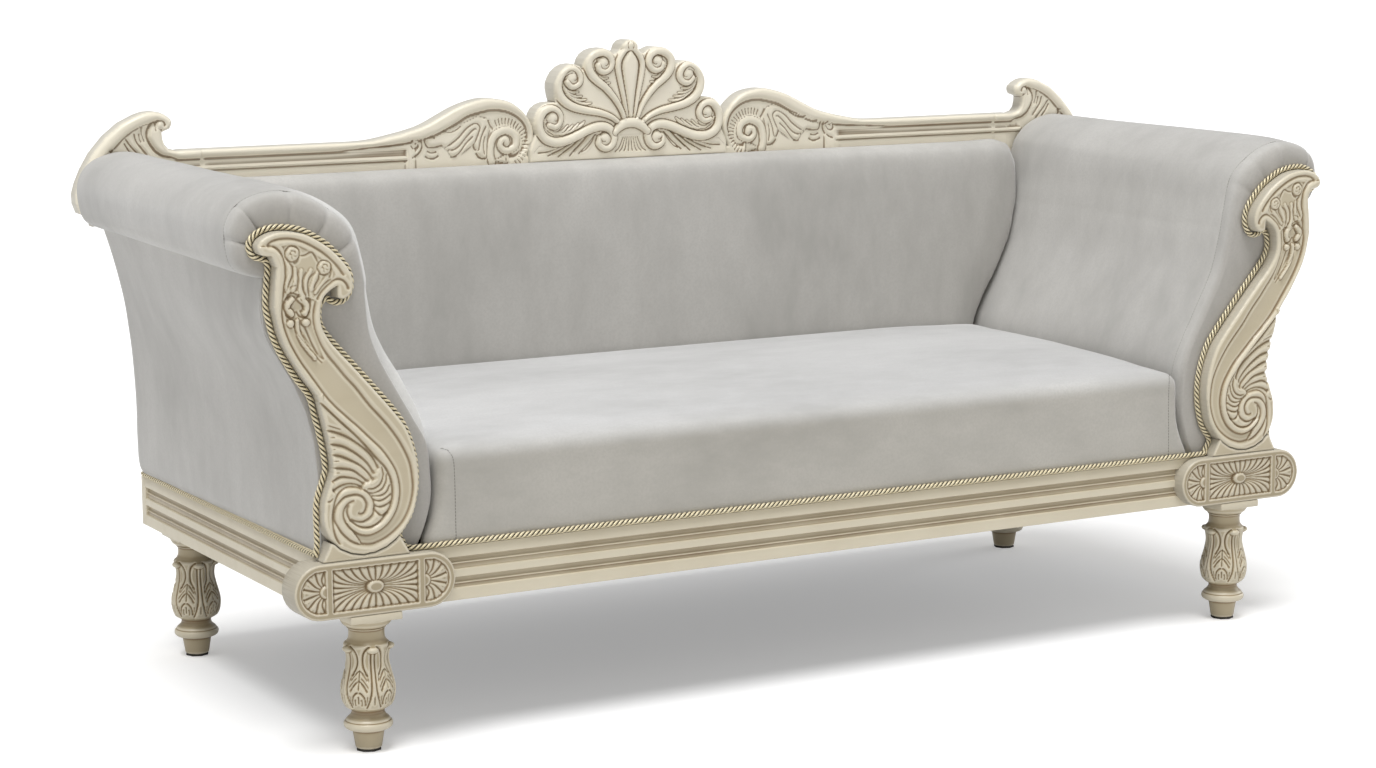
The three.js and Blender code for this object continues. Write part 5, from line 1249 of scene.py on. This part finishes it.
def carve_shell(board):
    """Both halves alike: feathers and crescents behind, then the bud, the scrolled arms and their
    eyes. Below the back pad's top the shell is set back."""
    side_x = board["x"]
    board["x"] = x = np.abs(side_x)
    board["h"] = np.full(len(x), -7.0)
    set_level(board, depth_inside(board, SKIRT) > 0, -7.5)
    for line in FEATHER_CUTS:
        (last_x, last_z), (x_before, z_before) = line[-1], line[-2]
        cut_line(board, line + [(last_x * 1.5 - x_before * 0.5, last_z * 1.5 - z_before * 0.5)], 5, 3.8, 0.08)
    for fan_x in (3.5, 10.5, 17.5, 24.5):
        cut_line(board, [(fan_x * 0.55, 856), (fan_x * 0.75, 845), (fan_x, 834), (fan_x * 1.35, 828)], 3.6, 3.4, 0.1)
    for line in CRESCENTS:
        raise_bead(board, [(a, b, h) for (a, b), h in zip(line, (1.4, 3.2, 3, 1))], 3, -7, 1.6)
    raise_bead(board, [(7, 884, 3), (10, 905, 3.8), (15, 930, 4.8), (20.5, 955, 5.6), (24.5, 975, 6),
                       (24.5, 989, 6), (18.5, 1002, 6), (9, 1012, 5.6), (0, 1017, 5.4)], 5.5, -7, 2.4)
    inside_bud = depth_inside(board, BUD)
    shape = np.minimum(inside_bud, np.maximum(16 - x, 0))
    set_level(board, inside_bud > 0, -7.5 + 7 * arched(unit(1 - shape / 10)))
    for line in ARMS[::-1]:
        raise_bead(board, [(a, b, half * 1.12) for a, b, half in line], 6, -6.5, 2.8)
    for cx, cz, radius in EYES:
        raise_dome(board, cx, cz, radius, 6, -6.5)
    cut_lines(board, EYE_COMMAS, 3, 3.2, 0.12)
    raise_bead(board, [(0, 881, 9.5), (12, 879.5, 9.5), (24, 873, 8.5), (33, 864, 6.5)], 7, -7, 2.4)
    raise_bead(board, [(0, 1020, 11), (6, 1019, 11)], 7, -7.5)
    cut_line(board, [(0, 1027), (5, 1024), (6, 1018), (4, 1013)], 3, 2.8, 0.1)
    round_edge(board, 6)
    board["x"] = side_x
    set_level(board, board["z"] <= PAD_TOP, np.minimum(board["h"], -16.5))


bm, board = sawn_board(both_halves(SHELL_HALF), 1.35)
carve_shell(board)
stand_up(bm, board, SHELL_FRONT, CREST_BACK, rear_round=14)
painted_piece("carved_shell", bm, painted_crest_lit, "crest_shell")

# Horns: scrolled ends of the crest rail that rise above the arms, with a rolled rim that curls
# into a small volute and a few flutes cut below it.
HORN = [
    (815, 866), (848, 866), (857, 865), (871.1, 869.1), (878, 877), (880.5, 887), (881, 896.2), (875.1, 899.4),
    (866.9, 902.1), (863, 910), (865, 918), (874, 925.1), (884, 930), (896, 932), (910, 931), (923.9, 927),
    (952.1, 914), (978.9, 893.1), (1003.1, 866.1), (1018.9, 840.2), (1029, 818), (1034.5, 800), (1034, 784),
    (1028, 768), (1016.1, 763.3), (1006, 764), (1006, 745), (815, 745)]
HORN_RIM = [
    (1020, 775, 9), (1023, 790, 10), (1018, 812, 10), (1008, 835, 10), (992, 860, 10), (970, 884, 10),
    (947, 904, 10), (922, 917, 9.5), (900, 922, 9), (884, 920, 8.5), (873, 913, 7.5), (873, 906, 6), (879, 903, 5)]
HORN_CUTS = [
    [(893, 898), (895, 908.3), (890, 916.7), (900, 911.7), (906.7, 901.7), (908.3, 890), (903.3, 878.3),
     (895, 866.7), (883.3, 858.3), (866.7, 854.2), (850, 850), (830, 850.5), (790, 851)],
    [(916.7, 907.5), (917.5, 896.7), (912.5, 880.8)],
    [(930.8, 897.5), (926.7, 883.3), (918, 871), (908, 858)],
    [(945.8, 888.3), (936.7, 875), (925.8, 863), (915, 852)],
    [(948.3, 882.5), (940, 868), (930, 856)],
    [(922, 897), (921, 888), (918, 880)],
    [(976.7, 868.3), (970, 870), (971, 862), (966, 856)]]
CURL_EDGE = HORN_CUTS[0][9:3:-1]


def carve_horn(board):
    """The rolled rim, the flutes below it and the rail's own mouldings running in. The end that
    meets the crest rail isn't rounded."""
    x, z = board["x"], board["z"]
    board["h"] = -5.5 * unit((x - 845) / 25)
    swell_band(board, [(815, 851), (850, 850)] + CURL_EDGE[:5],
               [(815, 866), (856, 865), (871, 869), (878, 877), (881, 890), (881, 896), (890, 902)], 3)
    rail_panel(board, unit((880 - x) / 25) * (z < 851))
    raise_bead(board, HORN_RIM, 6.5, -6.5)
    off = depth_inside(board, [(850, 851)] + CURL_EDGE + [(896, 912), (885, 905), (881, 896), (880, 884), (871, 869),
                                                          (856, 863)])
    set_level(board, off > 0, np.maximum(board["h"], -4.5 + 3.5 * unit(off / 5)))
    cut_line(board, HORN_CUTS[0], 8, 4.6, 0.1)
    cut_lines(board, HORN_CUTS[1:], 4.6, 3.4, 0.1)
    raise_dome(board, 885.5, 908.5, 8, 6, -6)
    cut_line(board, [(877, 911), (882, 916), (889, 915), (893, 908)], 3, 3, 0.1)
    beyond = [(a - 30 * (a == HORN_JOINT), b) for a, b in HORN]
    board["off"] = np.maximum(depth_inside(board, beyond), 0)
    round_edge(board, 6)


for side, sign in SIDES:
    bm, board = sawn_board(HORN, 1.9)
    carve_horn(board)
    stand_up(bm, board, CREST_FRONT, CREST_BACK, sign, rear_round=8)
    painted_piece(f"carved_horn_{side}", bm, painted_crest_lit, f"horn_{side}")

# Rope cord: three strands of gold yarn twisted together and sewn along every joint between the
# wood and the velvet.
STRAND_RADIUS, STRAND_TURN, ROPE_PITCH = 2.2, 2.7, 26.0
CORD_ROUND_FACING = [
    (916.5, 309.9), (914, 328), (914, 342), (914.3, 358), (914.5, 380), (911.5, 401), (900, 433.5), (898.5, 442.7),
    (899.8, 459.5), (906.3, 494), (914, 525.5), (921.5, 553.5), (943.5, 584.5), (971.5, 634), (984, 680),
    (985.2, 698), (983, 724), (980.5, 747), (984, 758), (993, 760.5), (1003.8, 765.5), (1008.5, 776), (1007.5, 785.5),
    (1000, 795), (987, 801.7), (973, 804.8), (957, 804.8), (938.5, 802), (919.5, 795.8), (886.5, 774.8), (861.8, 748),
    (852, 730.5), (850, 715), (854, 700.8), (861.5, 691.8), (870.5, 688.5), (881, 690.2), (889.8, 695.8),
    (899, 689.5), (902.6, 675.6), (901.2, 661), (894, 646), (881.7, 631), (860.8, 607.3), (818.3, 559),
    (780.5, 513.6), (765.2, 486.4), (754.9, 453.7), (751, 421.9), (753.3, 392.3), (761.6, 361.3), (770, 347.5),
    (779, 335.5), (780.5, 327.5), (776, 319), (770.8, 309.4)]
CORD_END = [(-772, -386, 309.5), (-764, -390.5, 308.4), (-752, -392, 308.3)]
SIDE_CORD = [(909, -368), (909, -200), (909, 0), (909, 200), (909, 380), (909, 396), (905.5, 404.5), (897, 408)]
CORD_HEIGHT, FACING_CORD_Y = 308.3, -384


def gold_finish():
    material, tree, shader = node_tree("gold_cord")
    yarn = object_noise(tree, 650, 3)
    base = blended(tree, ranged(tree, yarn, 0.35, 0.7), (0.66, 0.56, 0.34, 1), (0.93, 0.87, 0.68, 1))
    # Points near the core, in the hollows between the strands, turn nearly black: painted shade.
    base = layered(tree, base, (object_noise(tree, 40, 3), 0.4, 0.7, 0.3, (0.72, 0.62, 0.38, 1)),
                   (mesh_value(tree, "from_core"), 4.5, 3.5, 1, (0.05, 0.034, 0.014, 1)))
    plug(tree, shader, {"Base Color": base, "Metallic": 0.25,
                        "Roughness": ranged(tree, yarn, 0.3, 0.7, 0.34, 0.55)})
    bumped(tree, shader, (yarn, 0.0006, 0.5))
    return material


gold_cord = gold_finish()


def rope(name, points, node):
    """Three strands twisted round a line. Each point keeps its distance from the line, so that the hollows between
    the strands can be painted with shade."""
    line = flowing(points, 4)
    steps = distances(line)
    count = max(int(steps[-1] / ROPE_PITCH * 12), 4)
    at = np.linspace(0, steps[-1], count)
    path = np.stack([np.interp(at, steps, line[:, i]) for i in range(3)], axis=1)
    run = np.gradient(path, axis=0)
    run /= np.linalg.norm(run, axis=1)[:, None]
    side = np.cross(run[0], (0, 0, 1) if abs(run[0][2]) < 0.9 else (0, 1, 0))
    strands = [[], [], []]
    for place, direction, reached in zip(path, run, at):
        side = side - direction * side.dot(direction)
        side = side / np.linalg.norm(side)
        up = np.cross(direction, side)
        for number, strand in enumerate(strands):
            angle = -math.tau * (reached / ROPE_PITCH + number / 3)
            strand.append((place + STRAND_TURN * (side * math.cos(angle) + up * math.sin(angle))) * MM)
    piece = set_down(name, round_threads(name, strands, STRAND_RADIUS, 1), gold_cord, [node], 70)
    core = kdtree.KDTree(len(path))
    for i, place in enumerate(path):
        core.insert(place * MM, i)
    core.balance()
    from_core = piece.data.attributes.new("from_core", "FLOAT", "POINT")
    for vert, value in zip(piece.data.vertices, from_core.data):
        value.value = core.find(vert.co)[2] / MM


straight = [(x, -392, CORD_HEIGHT) for x in range(-740, 741, 20)]
rope("rope_front", CORD_END + straight + [(-x, y, z) for x, y, z in CORD_END[::-1]], "cord_front")
rope("rope_back", [(-894, 408, CORD_HEIGHT), (894, 408, CORD_HEIGHT)], "cord_back")
for side, sign in SIDES:
    rope(f"rope_side_{side}", [(sign * x, y, CORD_HEIGHT) for x, y in SIDE_CORD], f"cord_side_{side}")
    rope(f"rope_facing_{side}", [(sign * x, FACING_CORD_Y, z) for x, z in CORD_ROUND_FACING], f"cord_arm_{side}")

# Parts that stay as they are in the frame: the back rail in paint, the dark glides, and the
# hidden posts, blocks, bearers, webbing and dust cover in their own materials.


def wood_finish():
    material, tree, shader = node_tree("frame_wood")
    ring = object_noise(tree, 14, 4, (0.3, 3, 3))
    pore = object_noise(tree, 260, 2, (0.2, 3, 3))
    base = layered(tree, (0.50, 0.32, 0.17, 1), (ring, 0.3, 0.7, 1, (0.66, 0.46, 0.27, 1)),
                   (pore, 0.55, 0.75, 0.4, (0.33, 0.2, 0.1, 1)))
    plug(tree, shader, {"Base Color": base, "Roughness": 0.75})
    bumped(tree, shader, (pore, 0.0004, 0.4))
    return material


def woven_finish(name, dark, pale, threads):
    """A plain weave: threads both ways, pale where they lie on top."""
    material, tree, shader = node_tree(name)
    place = new_node(tree, "TexCoord", {}).outputs["Object"]
    across, along = (new_node(tree, "TexWave", {"Scale": threads, "Distortion": 0.6, "Vector": place},
                              bands_direction=axis).outputs["Fac"] for axis in ("X", "Y"))
    weave = new_node(tree, "Math", {0: across, 1: along}, operation="MAXIMUM").outputs[0]
    plug(tree, shader, {"Base Color": blended(tree, weave, dark, pale), "Roughness": 0.95})
    bumped(tree, shader, (weave, 0.0006, 0.5))
    return material


frame_wood = wood_finish()
INSIDE_FINISHES = {
    "back_rail": painted_wood, "leg_glide": glide_dark,
    "seat_webbing": woven_finish("webbing", (0.17, 0.115, 0.055, 1), (0.36, 0.27, 0.15, 1), 90),
    "dust_cover": woven_finish("dust_cloth", (0.012, 0.012, 0.013, 1), (0.035, 0.035, 0.037, 1), 160),
    "corner_block": frame_wood, "cross_bearer": frame_wood, "arm_post": frame_wood, "arm_beam": frame_wood,
    "back_post": frame_wood, "back_middle_post": frame_wood}
for node_name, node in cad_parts.items():
    for start, finish in INSIDE_FINISHES.items():
        if node.type == "MESH" and node_name.startswith(start):
            for material_slot in node.material_slots:
                material_slot.material = finish

# Floor and light: a white studio floor that keeps a soft grey shadow under the settee, a bright
# dome all round, a broad lamp from above and two weak ones: a warm one from the front and one
# from the right.
FLOOR_SIZE, FLOOR_GLOW, DOME_STRENGTH = 60, 0.3, 0.39
bm = bmesh.new()
bmesh.ops.create_grid(bm, x_segments=2, y_segments=2, size=FLOOR_SIZE)
floor_mesh = bpy.data.meshes.new("floor")
bm.to_mesh(floor_mesh)
bm.free()
floor = bpy.data.objects.new("floor", floor_mesh)
scene.collection.objects.link(floor)
floor_white, tree, shader = node_tree("floor_white")
plug(tree, shader, {"Base Color": (0.8, 0.8, 0.8, 1), "Roughness": 0.9, "Specular IOR Level": 0.1})
seen = new_node(tree, "Math", {0: new_node(tree, "LightPath", {}).outputs["Is Camera Ray"], 1: FLOOR_GLOW},
                operation="MULTIPLY")
glow = new_node(tree, "Emission", {"Color": (1, 1, 1, 1), "Strength": seen.outputs[0]})
both = new_node(tree, "AddShader", {0: shader.outputs["BSDF"], 1: glow.outputs["Emission"]})
plug(tree, tree.nodes["Material Output"], {"Surface": both.outputs["Shader"]})
floor_mesh.materials.append(floor_white)

world = bpy.data.worlds.new("studio")
scene.world = world
world.use_nodes = True
tree = world.node_tree
tree.nodes.clear()
dome, white = (new_node(tree, "Background", {"Color": (1, 1, 1, 1), "Strength": strength}).outputs["Background"]
               for strength in (DOME_STRENGTH, 1))
choice = new_node(tree, "MixShader", {"Fac": new_node(tree, "LightPath", {}).outputs["Is Camera Ray"], 1: dome,
                                      2: white})
new_node(tree, "OutputWorld", {"Surface": choice.outputs["Shader"]})

LAMPS = [("lamp_above", 2.55, 30, (1, 1, 1), (0.2, 0.22, -1)),
         ("lamp_front", 0.3, 60, (1, 0.9, 0.74), (0.4, 0.9, -0.25)),
         ("lamp_right", 0.5, 30, (1, 1, 1), (-0.95, -0.1, -0.4))]
for name, strength, spread, colour, direction in LAMPS:
    lamp_data = bpy.data.lights.new(name, "SUN")
    lamp_data.energy = strength
    lamp_data.color = colour
    lamp_data.angle = math.radians(spread)
    lamp = bpy.data.objects.new(name, lamp_data)
    lamp.rotation_euler = Vector(direction).to_track_quat("-Z", "Y").to_euler()
    scene.collection.objects.link(lamp)

scene.view_settings.view_transform = "Standard"
